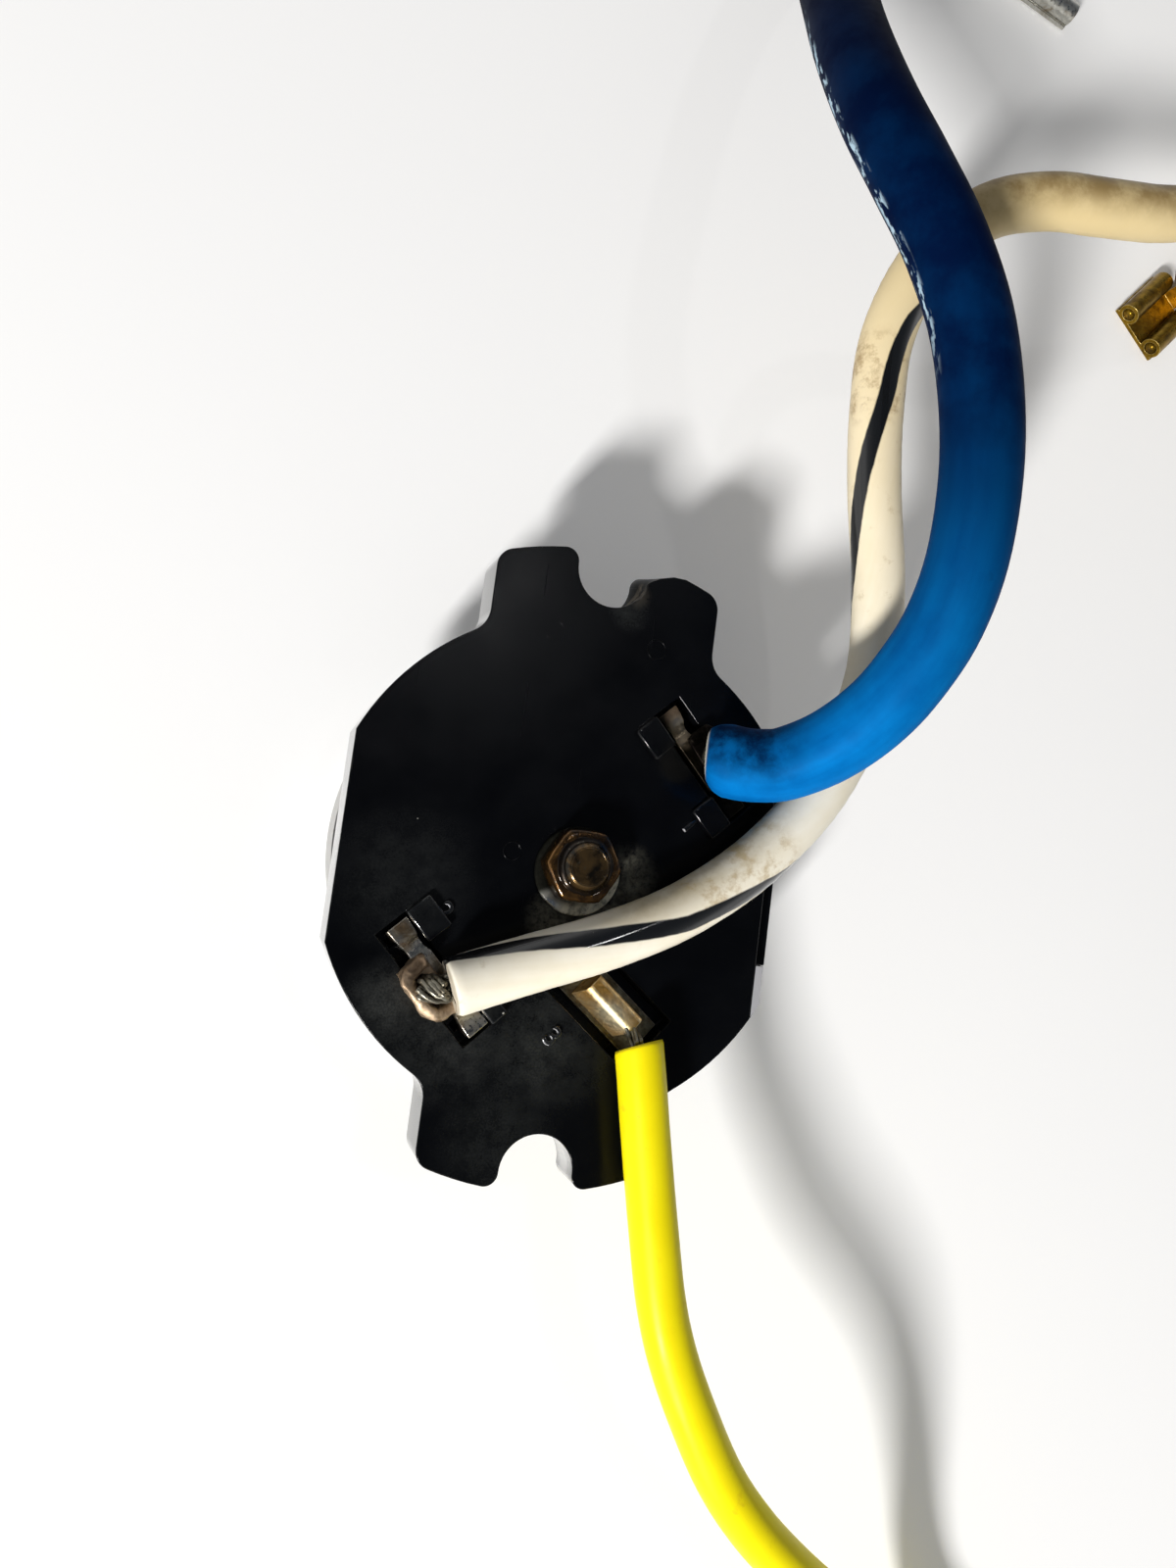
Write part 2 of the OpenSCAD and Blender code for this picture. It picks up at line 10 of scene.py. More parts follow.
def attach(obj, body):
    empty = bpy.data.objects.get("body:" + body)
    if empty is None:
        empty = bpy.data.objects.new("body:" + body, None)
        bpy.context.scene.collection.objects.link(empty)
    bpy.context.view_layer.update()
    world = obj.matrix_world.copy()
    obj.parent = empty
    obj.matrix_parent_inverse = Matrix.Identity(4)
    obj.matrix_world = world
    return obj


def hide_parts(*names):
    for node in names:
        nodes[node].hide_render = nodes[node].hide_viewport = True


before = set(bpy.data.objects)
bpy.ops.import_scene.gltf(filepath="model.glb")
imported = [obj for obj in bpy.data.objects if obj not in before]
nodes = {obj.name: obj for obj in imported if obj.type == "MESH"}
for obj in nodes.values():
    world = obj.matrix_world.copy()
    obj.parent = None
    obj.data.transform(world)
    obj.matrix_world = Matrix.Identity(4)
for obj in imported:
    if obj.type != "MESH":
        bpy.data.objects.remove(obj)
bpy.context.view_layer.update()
scene = bpy.context.scene
scene.view_settings.view_transform = "Standard"
noise.seed_set(1)  # without it, the unevenness of worked pieces differs on each run

MM = 0.001
UP = Vector((0.0, 0.0, 1.0))
FACE = 15.0  # height of the terminal face above the table, in mm

CAMERA_PLACE = (-30.219, -0.513, 105.256)  # in mm
CAMERA_TURN = (0.98354, 0.03014, -0.16375, 0.07024)
CAMERA_LENS, CAMERA_SENSOR = 24.45, 36.0
LAMP_AIM = (0.0, 0.0, 0.01)  # in metres
TABLE_R, TABLE_RIM = 4.0, 3.0  # in metres


# ---- camera, table and light

def add_to_scene(name, data):
    """A new object of some data, linked into the scene."""
    piece = bpy.data.objects.new(name, data)
    scene.collection.objects.link(piece)
    return piece


def set_camera():
    """The photograph's viewpoint: close above the terminal face, a little to the left."""
    lens = bpy.data.cameras.new("camera")
    lens.sensor_fit = "AUTO"
    lens.sensor_width = CAMERA_SENSOR
    lens.lens = CAMERA_LENS
    lens.clip_start = 0.005
    lens.clip_end = 20.0
    camera = add_to_scene("camera", lens)
    camera.location = Vector(CAMERA_PLACE) * MM
    camera.rotation_mode = "QUATERNION"
    camera.rotation_quaternion = Quaternion(CAMERA_TURN)
    scene.camera = camera


def set_lamp(name, place, size, watts, colour):
    """A soft box lamp that faces the part; place and size in metres."""
    lamp = bpy.data.lights.new(name, "AREA")
    lamp.shape = "RECTANGLE"
    lamp.size, lamp.size_y = size
    lamp.energy = watts
    lamp.color = colour
    holder = add_to_scene(name, lamp)
    holder.location = place
    holder.rotation_mode = "QUATERNION"
    holder.rotation_quaternion = (Vector(LAMP_AIM) - Vector(place)).to_track_quat("-Z", "Y")


def set_sky():
    """A room with pale walls and a dim ceiling; its walls look white where they show."""
    world = bpy.data.worlds.new("room")
    scene.world = world
    world.use_nodes = True
    tree = world.node_tree
    tree.nodes.clear()
    coords = wire(tree, "ShaderNodeTexCoord")
    height = along_axis(coords.outputs["Generated"], "Z")
    light = steps(height, (0.0, (0.26, 0.26, 0.26)), (0.35, (0.23, 0.23, 0.23)),
                  (0.75, (0.190, 0.192, 0.195)), (1.0, (0.165, 0.168, 0.175)))
    walls = steps(height, (0.28, (0.93, 0.93, 0.93)), (0.50, (0.30, 0.31, 0.33)),
                  (0.80, (0.085, 0.10, 0.125)), (1.0, (0.045, 0.055, 0.080)))
    room = wire(tree, "ShaderNodeBackground", {"Color": light, "Strength": 1.0})
    backdrop = wire(tree, "ShaderNodeBackground", {"Color": walls, "Strength": 1.0})
    pick = wire(tree, "ShaderNodeMixShader",
                {0: showing(tree), 1: room.outputs[0], 2: backdrop.outputs[0]})
    wire(tree, "ShaderNodeOutputWorld", {"Surface": pick.outputs[0]})


def set_table():
    """The table top, a round sheet with one inner ring."""
    form = bmesh.new()
    bmesh.ops.create_circle(form, cap_ends=True, radius=TABLE_R, segments=96)
    bmesh.ops.inset_individual(form, faces=form.faces[:], thickness=TABLE_RIM)
    mesh = bpy.data.meshes.new("table_top")
    form.to_mesh(mesh)
    form.free()
    mesh.materials.append(pale_table())
    add_to_scene("table_top", mesh)


# ---- node helpers; they work in the tree that their first node output belongs to

def wire(tree, kind, inputs=None, **settings):
    """Adds a node with its settings, and fills or joins its inputs."""
    node = tree.nodes.new(kind)
    for key, value in settings.items():
        setattr(node, key, value)
    for key, value in (inputs or {}).items():
        if isinstance(value, bpy.types.NodeSocket):
            tree.links.new(value, node.inputs[key])
        else:
            node.inputs[key].default_value = value
    return node


def steps(factor, *stops):
    """A ramp through the given (position, colour) stops."""
    ramp = wire(factor.id_data, "ShaderNodeValToRGB", {"Fac": factor})
    band = ramp.color_ramp
    while len(band.elements) < len(stops):
        band.elements.new(1.0)
    for element, (position, colour) in zip(band.elements, stops):
        element.position = position
        element.color = (*colour, 1.0)
    return ramp.outputs["Color"]


def fade(value, low, high, to_low=0.0, to_high=1.0):
    """A smooth change from one number to another as value goes from low to high."""
    return wire(value.id_data, "ShaderNodeMapRange",
                {"Value": value, "From Min": low, "From Max": high, "To Min": to_low,
                 "To Max": to_high}, interpolation_type="SMOOTHSTEP", clamp=True).outputs["Result"]


def grain(coords, scale, detail=4.0, roughness=0.55, distortion=0.0):
    """Noise, finer as its scale grows."""
    return wire(coords.id_data, "ShaderNodeTexNoise",
                {"Vector": coords, "Scale": scale, "Detail": detail, "Roughness": roughness,
                 "Distortion": distortion}).outputs["Fac"]


def stretched(coords, scale, turn=(0.0, 0.0, 0.0)):
    """Coordinates scaled along each axis, and turned."""
    return wire(coords.id_data, "ShaderNodeMapping",
                {"Vector": coords, "Scale": scale, "Rotation": turn}).outputs["Vector"]


def maths(how, first, *others):
    """Joins numbers and node outputs by one operation, from left to right."""
    for other in others:
        tree = (first if isinstance(first, bpy.types.NodeSocket) else other).id_data
        first = wire(tree, "ShaderNodeMath", {0: first, 1: other}, operation=how).outputs[0]
    return first


def times(*values):
    return maths("MULTIPLY", *values)


def most(*values):
    return maths("MAXIMUM", *values)


def plus(*values):
    return maths("ADD", *values)


def less(first, second):
    return maths("SUBTRACT", first, second)


def apart(first, second):
    """How far two numbers lie apart."""
    return maths("ABSOLUTE", less(first, second), 0.0)


def within(value, start, end, soft, soft_end=None):
    """1 from start to end and 0 outside, with soft limits."""
    late = soft if soft_end is None else soft_end
    return times(fade(value, start - soft, start + soft),
                 fade(value, end - late, end + late, 1.0, 0.0))


def marked(tree, name):
    """What the faces of a piece say by a named value of their own."""
    return wire(tree, "ShaderNodeAttribute", attribute_name=name).outputs["Fac"]


def along_axis(vector, axis):
    return wire(vector.id_data, "ShaderNodeSeparateXYZ", {"Vector": vector}).outputs[axis]


def facing(tree, axis):
    """How far a surface faces along an axis, from -1 to 1."""
    return along_axis(wire(tree, "ShaderNodeNewGeometry").outputs["Normal"], axis)


def tint(factor, under, over):
    """Colour over laid on colour under by factor."""
    mix = wire(factor.id_data, "ShaderNodeMix", {"Factor": factor}, data_type="RGBA")
    for socket, value in ((6, under), (7, over)):
        if isinstance(value, bpy.types.NodeSocket):
            factor.id_data.links.new(value, mix.inputs[socket])
        else:
            mix.inputs[socket].default_value = (*value, 1.0)
    return mix.outputs[2]


def near(coords, place, reach):
    """1 at a place on the piece, in mm, falling to 0 at its reach."""
    gap = wire(coords.id_data, "ShaderNodeVectorMath", {0: coords, 1: Vector(place) * MM},
               operation="DISTANCE").outputs["Value"]
    return fade(gap, 0.15 * reach * MM, reach * MM, 1.0, 0.0)


def spread(coords, spots):
    """The most of several spots on the piece, each a (place, reach, share)."""
    return most(*(times(near(coords, place, reach), share) for place, reach, share in spots))


def showing(tree):
    """1 for the rays that show the surroundings: straight, mirrored or through glass."""
    ray = wire(tree, "ShaderNodeLightPath").outputs
    return most(ray["Is Camera Ray"], ray["Is Glossy Ray"], ray["Is Transmission Ray"])


def relief(height, strength, depth, under=None):
    """A bump of the given depth in mm."""
    inputs = {"Height": height, "Strength": strength, "Distance": depth * MM}
    if under is not None:
        inputs["Normal"] = under
    return wire(height.id_data, "ShaderNodeBump", inputs).outputs["Normal"]


def start_finish(name, coords="Object"):
    """A new material with its node tree, its shader and its coordinates."""
    material = bpy.data.materials.new(name)
    material.use_nodes = True
    tree = material.node_tree
    source = wire(tree, "ShaderNodeTexCoord")
    return material, tree, tree.nodes["Principled BSDF"], source.outputs[coords]


def join(shader, **sockets):
    """Joins node outputs to the shader's sockets, or sets them to plain numbers."""
    names = {"colour": "Base Color", "roughness": "Roughness", "normal": "Normal",
             "metal": "Metallic", "specular": "Specular IOR Level", "coat": "Coat Weight",
             "coat_roughness": "Coat Roughness"}
    for key, value in sockets.items():
        socket = shader.inputs[names[key]]
        if isinstance(value, bpy.types.NodeSocket):
            shader.id_data.links.new(value, socket)
        else:
            socket.default_value = value


# ---- finishes

def black_phenolic():
    """Moulded black phenolic: glossy on its face, polished on its drawn sides, with fine moulding
    ripple, worn edges, scratches and dust. Painted light: a pale grey patch on one slot wall, and
    light grey on faces marked pale, which on the numerals is a painted highlight. Its spots are
    (place, reach, share), in mm."""
    dust_spots = (((-14.6, -13.4, 15), 5.0, 1.0), ((-9.0, -16.0, 15), 7.5, 0.75),
                  ((-1.0, -16.0, 15), 8.0, 0.75), ((-4.0, -24.0, 15), 7.0, 0.45),
                  ((-15.0, -3.0, 15), 8.0, 0.35), ((2.0, 23.6, 14), 2.6, 1.0))
    grime_spots = (((2.9, -3.7, 15), 3.8, 1.0), ((5.0, -0.6, 15), 3.6, 1.0),
                   ((-1.6, -4.9, 15), 3.0, 1.0))
    chip_spots = (((2.6, 25.2, 13.2), 2.4, 1.0), ((0.2, 23.9, 12.6), 1.8, 1.0))
    dull_place, dull_reach = (2.4, 25.2, 13.0), 7.0
    painted_light_place, painted_light_reach = (3.4, -26.2, 12.4), 3.4
    material, tree, shader, coords = start_finish("black_phenolic")
    cloud = grain(coords, 160.0, 5.0)
    colour = steps(cloud, (0.3, (0.0012, 0.0014, 0.0019)), (0.7, (0.0024, 0.0027, 0.0035)))

    film = times(fade(grain(coords, 5200.0, 8.0, 0.75), 0.34, 0.70, 0.35, 1.0),
                 fade(grain(coords, 520.0, 6.0, 0.70), 0.30, 0.66, 0.30, 1.0))
    haze = fade(grain(coords, 95.0, 6.0, 0.65), 0.46, 0.80, 0.0, 0.06)
    dusty = times(most(haze, spread(coords, dust_spots)), film)
    colour = tint(times(dusty, 0.42), colour, (0.082, 0.088, 0.084))
    grime = times(spread(coords, grime_spots), fade(grain(coords, 1900.0, 7.0, 0.7), 0.30, 0.66))
    colour = tint(grime, colour, (0.125, 0.120, 0.092))
    dusty = most(dusty, grime)
    specks = wire(tree, "ShaderNodeTexVoronoi", {"Vector": coords, "Scale": 420.0}, feature="F1")
    few = fade(wire(tree, "ShaderNodeSeparateColor",
                    {"Color": specks.outputs["Color"]}).outputs["Red"], 0.86, 0.88)
    speck = times(fade(specks.outputs["Distance"], 0.030, 0.050, 1.0, 0.0), few)
    colour = tint(speck, colour, (0.42, 0.41, 0.37))

    edge = marked(tree, "edge")
    rub = times(edge, fade(grain(coords, 420.0, 6.0, 0.7), 0.48, 0.76, 0.0, 0.40))
    colour = tint(rub, colour, (0.060, 0.058, 0.054))
    chip = times(spread(coords, chip_spots), fade(grain(coords, 800.0, 6.0, 0.7), 0.40, 0.56))
    colour = tint(chip, colour, (0.150, 0.128, 0.098))
    drawn = fade(apart(facing(tree, "Z"), 0.0), 0.05, 0.45, 1.0, 0.0)
    dull = times(drawn, near(coords, dull_place, dull_reach))
    # Painted light: the slot wall of the ear at -y is painted pale grey, standing in for the bright
    # table it would mirror.
    painted_light = times(fade(drawn, 0.3, 0.85), near(coords, painted_light_place, painted_light_reach),
                fade(grain(coords, 700.0, 5.0), 0.3, 0.6, 0.6, 1.0))
    colour = tint(painted_light, colour, (0.44, 0.44, 0.44))
    # Faces marked pale show light grey: the top of the step's end, and on the numerals a painted
    # highlight.
    pale = times(marked(tree, "pale"), fade(cloud, 0.2, 0.5, 0.80, 1.0))
    colour = tint(pale, colour, (0.41, 0.41, 0.43))

    scratch = grain(stretched(coords, (2200.0, 60.0, 200.0), (0, 0, 0.7)), 1.0, 2.0, 0.5)
    scratched = fade(scratch, 0.70, 0.75)
    worn = most(dusty, chip, dull, times(scratched, 0.25))
    gloss = times(fade(cloud, 0.3, 0.7, 0.18, 0.27), fade(edge, 0.0, 1.0, 1.0, 0.6))
    normal = relief(grain(coords, 330.0, 3.0), 0.16, 0.05)
    normal = relief(grain(coords, 2600.0, 3.0), 0.08, 0.015, normal)
    normal = relief(scratched, 0.12, 0.010, normal)
    normal = relief(plus(chip, times(dusty, 0.3)), 0.5, 0.04, normal)
    join(shader, colour=colour, normal=normal, specular=0.13,
         roughness=plus(gloss, times(worn, 0.5)),
         coat=most(marked(tree, "polish"), less(drawn, dull)), coat_roughness=0.05)
    return material


def plated_metal(name, dark, bright, stain, roughness=(0.22, 0.45), stained=(0.45, 0.75),
                 scale=500.0, rub_and_glint=None, brushed=None, dent=0.03, spots=()):
    """Plain or plated metal with blotches of stain, a worked surface and edges worn brighter; along
    the barrel's foot the bright edge is also a painted highlight. spots are (place, reach, colour)
    of spots that differ from the rest, in mm; some are painted highlights and painted shade."""
    material, tree, shader, coords = start_finish(name)
    blotch = grain(coords, scale, 6.0, 0.62, 0.4)
    fine = grain(coords, scale * 6.0, 4.0)
    colour = steps(fine, (0.25, dark), (0.75, bright))
    amount = fade(blotch, *stained)
    colour = tint(amount, colour, stain)
    if rub_and_glint is not None:
        shine = times(marked(tree, "edge"), fade(blotch, 0.35, 0.6, 0.85, 0.25))
        colour = tint(shine, colour, rub_and_glint)
    # Each spot tints the metal: on the tarnished tin and the orange brass a painted highlight, on
    # the browned copper painted shade.
    for place, reach, spot in spots:
        colour = tint(times(near(coords, place, reach),
                            fade(blotch, 0.35, 0.65, 1.0, 0.5)), colour, spot)
    gloss = plus(fade(fine, 0.25, 0.75, *roughness), times(amount, 0.16))
    normal = relief(blotch, 0.35, dent)
    if brushed is not None:
        lines = grain(stretched(coords, brushed), 1.0, 3.0)
        normal = relief(lines, 0.25, 0.01, normal)
    normal = relief(fine, 0.15, 0.008, normal)
    join(shader, colour=colour, roughness=gloss, normal=normal, metal=1.0)
    return material


def dusty_washer():
    """The flat washer: near-black steel, with pale dust caught on the side below the nut, painted
    lighter than the dust alone.
    """
    dust_spots = (((1.6, -3.9, 15.5), 3.4, 1.0), ((3.5, -2.0, 15.5), 2.8, 1.0),
                  ((-0.6, -4.3, 15.5), 2.0, 1.0))
    bare_place, bare_reach = (-2.2, -3.8, 15.4), 1.7
    material, _, shader, coords = start_finish("dull_steel")
    fine = grain(coords, 3200.0, 4.0)
    colour = steps(fine, (0.25, (0.004, 0.004, 0.003)), (0.75, (0.012, 0.012, 0.009)))
    dust = times(spread(coords, dust_spots),
                 fade(grain(coords, 1400.0, 6.0, 0.7), 0.26, 0.60, 0.25, 1.0))
    # Painted light: the dust is lighter than dust alone, to outweigh the white lead's shadow on it.
    colour = tint(dust, colour, (0.78, 0.74, 0.58))
    spot = near(coords, bare_place, bare_reach)
    colour = tint(spot, colour, (0.75, 0.74, 0.66))
    normal = relief(plus(fine, dust), 0.3, 0.02)
    join(shader, colour=colour, roughness=fade(spot, 0.0, 1.0, 0.85, 0.24), normal=normal,
         metal=spot, specular=0.03)
    return material


def drawn_steel():
    """The front cover: drawn sheet steel with rings from drawing and a thin oxide."""
    material, tree, shader, coords = start_finish("drawn_steel")
    rings = wire(tree, "ShaderNodeTexWave", {"Vector": coords, "Scale": 420.0, "Distortion": 3.0,
                                             "Detail": 3.0, "Detail Scale": 1.5},
                 wave_type="RINGS", rings_direction="Z").outputs["Fac"]
    cloud = grain(coords, 130.0, 6.0, 0.6)
    colour = steps(cloud, (0.3, (0.36, 0.355, 0.34)), (0.7, (0.52, 0.515, 0.50)))
    spots = fade(grain(coords, 900.0, 5.0), 0.62, 0.72, 0.0, 0.5)
    colour = tint(spots, colour, (0.20, 0.16, 0.12))
    roughness = fade(cloud, 0.3, 0.7, 0.26, 0.42)
    normal = relief(rings, 0.08, 0.01)
    normal = relief(grain(coords, 2500.0, 3.0), 0.15, 0.01, normal)
    join(shader, colour=colour, roughness=roughness, normal=normal, metal=1.0)
    return material


def lacquered_brass(name, brass, lacquer, cover=(0.38, 0.60)):
    """Brass under uneven dark sealing lacquer."""
    material, _, shader, coords = start_finish(name)
    flow = grain(coords, 640.0, 6.0, 0.60, 0.5)
    fine = grain(coords, 2200.0, 4.0)
    amount = fade(flow, *cover)
    colour = tint(amount, brass, lacquer)
    colour = tint(fade(fine, 0.62, 0.72, 0.0, 0.5), colour, (0.16, 0.14, 0.10))
    roughness = fade(flow, 0.3, 0.7, 0.20, 0.32)
    normal = relief(flow, 0.4, 0.05)
    normal = relief(fine, 0.12, 0.01, normal)
    join(shader, colour=colour, roughness=roughness, normal=normal, metal=0.85,
         coat=0.35, coat_roughness=0.12)
    return material


def lead_insulation(name, base, shade, length, smudge, bands=(), tracer=None, age_and_shade=(),
                    gloss=(0.30, 0.46), specular=0.12, scuffs=None, grime_and_shade=()):
    """Extruded lead insulation on its own UV: x runs round it, y along it from the cut end.
    bands are (start, end, cover, patchy, colour) along it in mm; age_and_shade are (start, end,
    colour): yellowing on the white lead, painted shade on the blue lead; scuffs are pale rubs down
    one side, (start, end, side, colour); grime_and_shade are (start, end, cover, facing_low,
    facing_high, colour) of the side that faces y, by how far it faces there: a stain, and painted
    shade."""
    material, tree, shader, around = start_finish(name, "UV")
    coords = wire(tree, "ShaderNodeTexCoord").outputs["Object"]
    place = wire(tree, "ShaderNodeSeparateXYZ", {"Vector": around}).outputs
    along = times(place["Y"], length)
    streak = grain(stretched(around, (9.0, 0.06 * length, 1.0)), 1.0, 4.0)
    cloud = grain(coords, 190.0, 5.0, 0.6)
    colour = steps(plus(times(streak, 0.5), times(cloud, 0.5)), (0.36, shade), (0.62, base))
    rub = times(fade(grain(coords, 620.0, 7.0, 0.68), 0.56, 0.74, 0.0, 0.6),
                fade(grain(coords, 75.0, 3.0), 0.40, 0.62))
    colour = tint(rub, colour, smudge)
    # Stretches along the lead take another colour: yellowing on the white lead, painted shade on the
    # blue lead.
    for start, end, stretch_colour in age_and_shade:
        colour = tint(times(fade(along, start, end),
                            fade(cloud, 0.25, 0.65, 0.92, 1.0)), colour, stretch_colour)
    # The side that faces y takes a colour: a stain on the white lead near the case, painted shade on
    # the blue lead's cut end and the white lead's far part.
    for start, end, cover, facing_low, facing_high, side_colour in grime_and_shade:
        patch = fade(grain(coords, 330.0, 6.0, 0.66), 0.30, 0.62, 0.45 * cover, cover)
        colour = tint(times(within(along, start, end, 4.0), patch,
                            fade(facing(tree, "Y"), facing_low, facing_high)), colour, side_colour)
    if scuffs is not None:
        start, end, side, worn = scuffs
        dashes = grain(stretched(around, (26.0, 0.55 * length, 1.0)), 1.0, 3.0, 0.6)
        line = times(fade(apart(place["X"], side), 0.012, 0.050, 1.0, 0.0),
                     fade(dashes, 0.50, 0.60), within(along, start, end, 4.0, 6.0))
        colour = tint(line, colour, worn)
    for start, end, cover, patchy, stain in bands:
        soft = 0.12 if end - start < 3.0 else 1.2
        patch = fade(grain(coords, 480.0, 6.0, 0.7), 0.66 - 0.20 / max(patchy, 0.2), 0.66,
                     cover * (1.0 - patchy), cover)
        colour = tint(times(within(along, start, end, soft), patch), colour, stain)
    roughness = plus(fade(cloud, 0.3, 0.7, *gloss), times(rub, 0.2))
    ridge = streak
    if tracer is not None:
        wobble = times(less(grain(coords, 260.0, 2.0), 0.5), 0.02)
        stripe = fade(apart(plus(place["X"], wobble), 0.5),
                      tracer - 0.006, tracer + 0.006, 1.0, 0.0)
        ink = fade(grain(coords, 900.0, 6.0, 0.7), 0.22, 0.34, 0.8, 1.0)
        colour = tint(times(stripe, ink), colour, (0.007, 0.0075, 0.008))
        roughness = times(roughness, less(1.0, times(stripe, 0.68)))
        ridge = times(streak, fade(stripe, 0.0, 1.0, 1.0, 0.25))
        join(shader, coat=stripe, coat_roughness=0.10)
    normal = relief(ridge, 0.18, 0.05)
    normal = relief(grain(coords, 1500.0, 4.0), 0.08, 0.010, normal)
    join(shader, colour=colour, roughness=roughness, normal=normal, specular=specular)
    return material


def matt_board(name, light, dark, scale=900.0, roughness=0.75):
    """Paper, ceramic and other dull insulators."""
    material, _, shader, coords = start_finish(name)
    fibre = grain(stretched(coords, (1.0, 3.0, 1.0)), scale, 6.0, 0.65)
    colour = steps(fibre, (0.3, dark), (0.7, light))
    normal = relief(fibre, 0.35, 0.02)
    join(shader, colour=colour, normal=normal,
         roughness=fade(fibre, 0.3, 0.7, roughness - 0.1, roughness + 0.1))
    return material


def pale_table():
    """The white table top, with the faintest paper tooth, a little lighter where it shows."""
    material, tree, shader, coords = start_finish("pale_table")
    colour = steps(grain(coords, 6.0, 3.0), (0.3, (0.92, 0.92, 0.92)), (0.7, (0.945, 0.945, 0.94)))
    normal = relief(grain(coords, 900.0, 4.0), 0.05, 0.02)
    join(shader, colour=colour, roughness=0.85, normal=normal, specular=0.1)
    glow = wire(tree, "ShaderNodeEmission",
                {"Color": (1.0, 1.0, 1.0, 1.0), "Strength": times(showing(tree), 0.11)})
    both = wire(tree, "ShaderNodeAddShader", {0: shader.outputs[0], 1: glow.outputs[0]})
    tree.links.new(both.outputs[0], tree.nodes["Material Output"].inputs["Surface"])
    return material


# ---- shapes

def set_piece(name, form, finish, body="case", replaces=(), weighted=True):
    """Makes an object of a bmesh, lets it ride on its body and stand for its CAD nodes."""
    mesh = bpy.data.meshes.new(name)
    form.to_mesh(mesh)
    form.free()
    mesh.shade_smooth()
    mesh.materials.append(finish)
    piece = add_to_scene(name, mesh)
    if weighted:
        even = piece.modifiers.new("even_shading", "WEIGHTED_NORMAL")
        even.keep_sharp = True
        even.weight = 100
    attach(piece, body)
    if replaces:
        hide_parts(*replaces)
    return piece


def merged_copy(node):
    """A node's own form, with its loose triangles joined into whole faces."""
    form = bmesh.new()
    form.from_mesh(nodes[node].data)
    bmesh.ops.remove_doubles(form, verts=form.verts, dist=1e-6)
    bmesh.ops.dissolve_limit(form, angle_limit=math.radians(1.0), use_dissolve_boundaries=False,
                             verts=form.verts, edges=form.edges)
    return form


def face_out(form):
    bmesh.ops.recalc_face_normals(form, faces=form.faces)


def fill_holes(form):
    """Closes every open rim of a form with one face, and gives the new faces."""
    rims = [e for e in form.edges if e.is_boundary]
    return bmesh.ops.holes_fill(form, edges=rims, sides=0)["faces"]


def slice_form(form, place, away, drop=False):
    """Cuts a form along a plane through a place in metres, and drops what lies beyond if asked."""
    bmesh.ops.bisect_plane(form, geom=form.verts[:] + form.edges[:] + form.faces[:], dist=1e-7,
                           plane_co=place, plane_no=away, clear_outer=drop)


def mark(form, faces, **values):
    """Sets the named values of faces, such as edge, that a finish reads."""
    layers = form.loops.layers.float
    for name, value in values.items():
        layer = layers.get(name) or layers.new(name)
        for face in faces:
            for corner in face.loops:
                corner[layer] = value


def round_off(form, edges, width, segments, clamp=True, **marks):
    """Rounds edges to a width in mm, and marks the new faces."""
    made = bmesh.ops.bevel(form, geom=edges, offset=width * MM, offset_type="OFFSET", affect="EDGES",
                           segments=segments, profile=0.5, material=-1, clamp_overlap=clamp)
    mark(form, made["faces"], **marks)


def break_edges(form, width, sharp=30.0):
    """Rounds the sharp edges of a form, and marks them as edges."""
    edges = [e for e in form.edges
             if len(e.link_faces) == 2 and e.calc_face_angle(0.0) > math.radians(sharp)]
    round_off(form, edges, width, 2, clamp=False, edge=1.0)
    return form


def worn_copy(name, node, finish, width, sharp=30.0):
    """A piece that is its node's own form with its edges taken off."""
    set_piece(name, break_edges(merged_copy(node), width, sharp), finish, replaces=[node])


def smooth_line(points, per_span):
    """One smooth curve through points in mm, as close points in metres."""
    route = [Vector(p) * MM for p in points]
    line = []
    for i in range(len(route) - 1):
        before, after = route[max(i - 1, 0)], route[min(i + 2, len(route) - 1)]
        a, b = route[i], route[i + 1]
        line += interpolate_bezier(a, a + (b - before) / 6.0, b - (after - a) / 6.0, b,
                                   per_span + 1)[:-1]
    return line + [route[-1]]


def carried_frames(line):
    """At each point of a line: how far along it is, and two directions across it, the second
    nearest up."""
    frames, far, across = [], 0.0, None
    for i, point in enumerate(line):
        run = (line[min(i + 1, len(line) - 1)] - line[max(i - 1, 0)]).normalized()
        if across is None:
            across = run.cross(UP).normalized()
        across = (across - run * across.dot(run)).normalized()
        if i:
            far += (point - line[i - 1]).length
        frames.append((far, across, across.cross(run).normalized()))
    return frames


def between(stops, x):
    """A number read off a list of (position, value) stops."""
    for (x0, y0), (x1, y1) in zip(stops, stops[1:]):
        if x <= x1:
            return y0 + (y1 - y0) * max(0.0, x - x0) / (x1 - x0)
    return stops[-1][1]


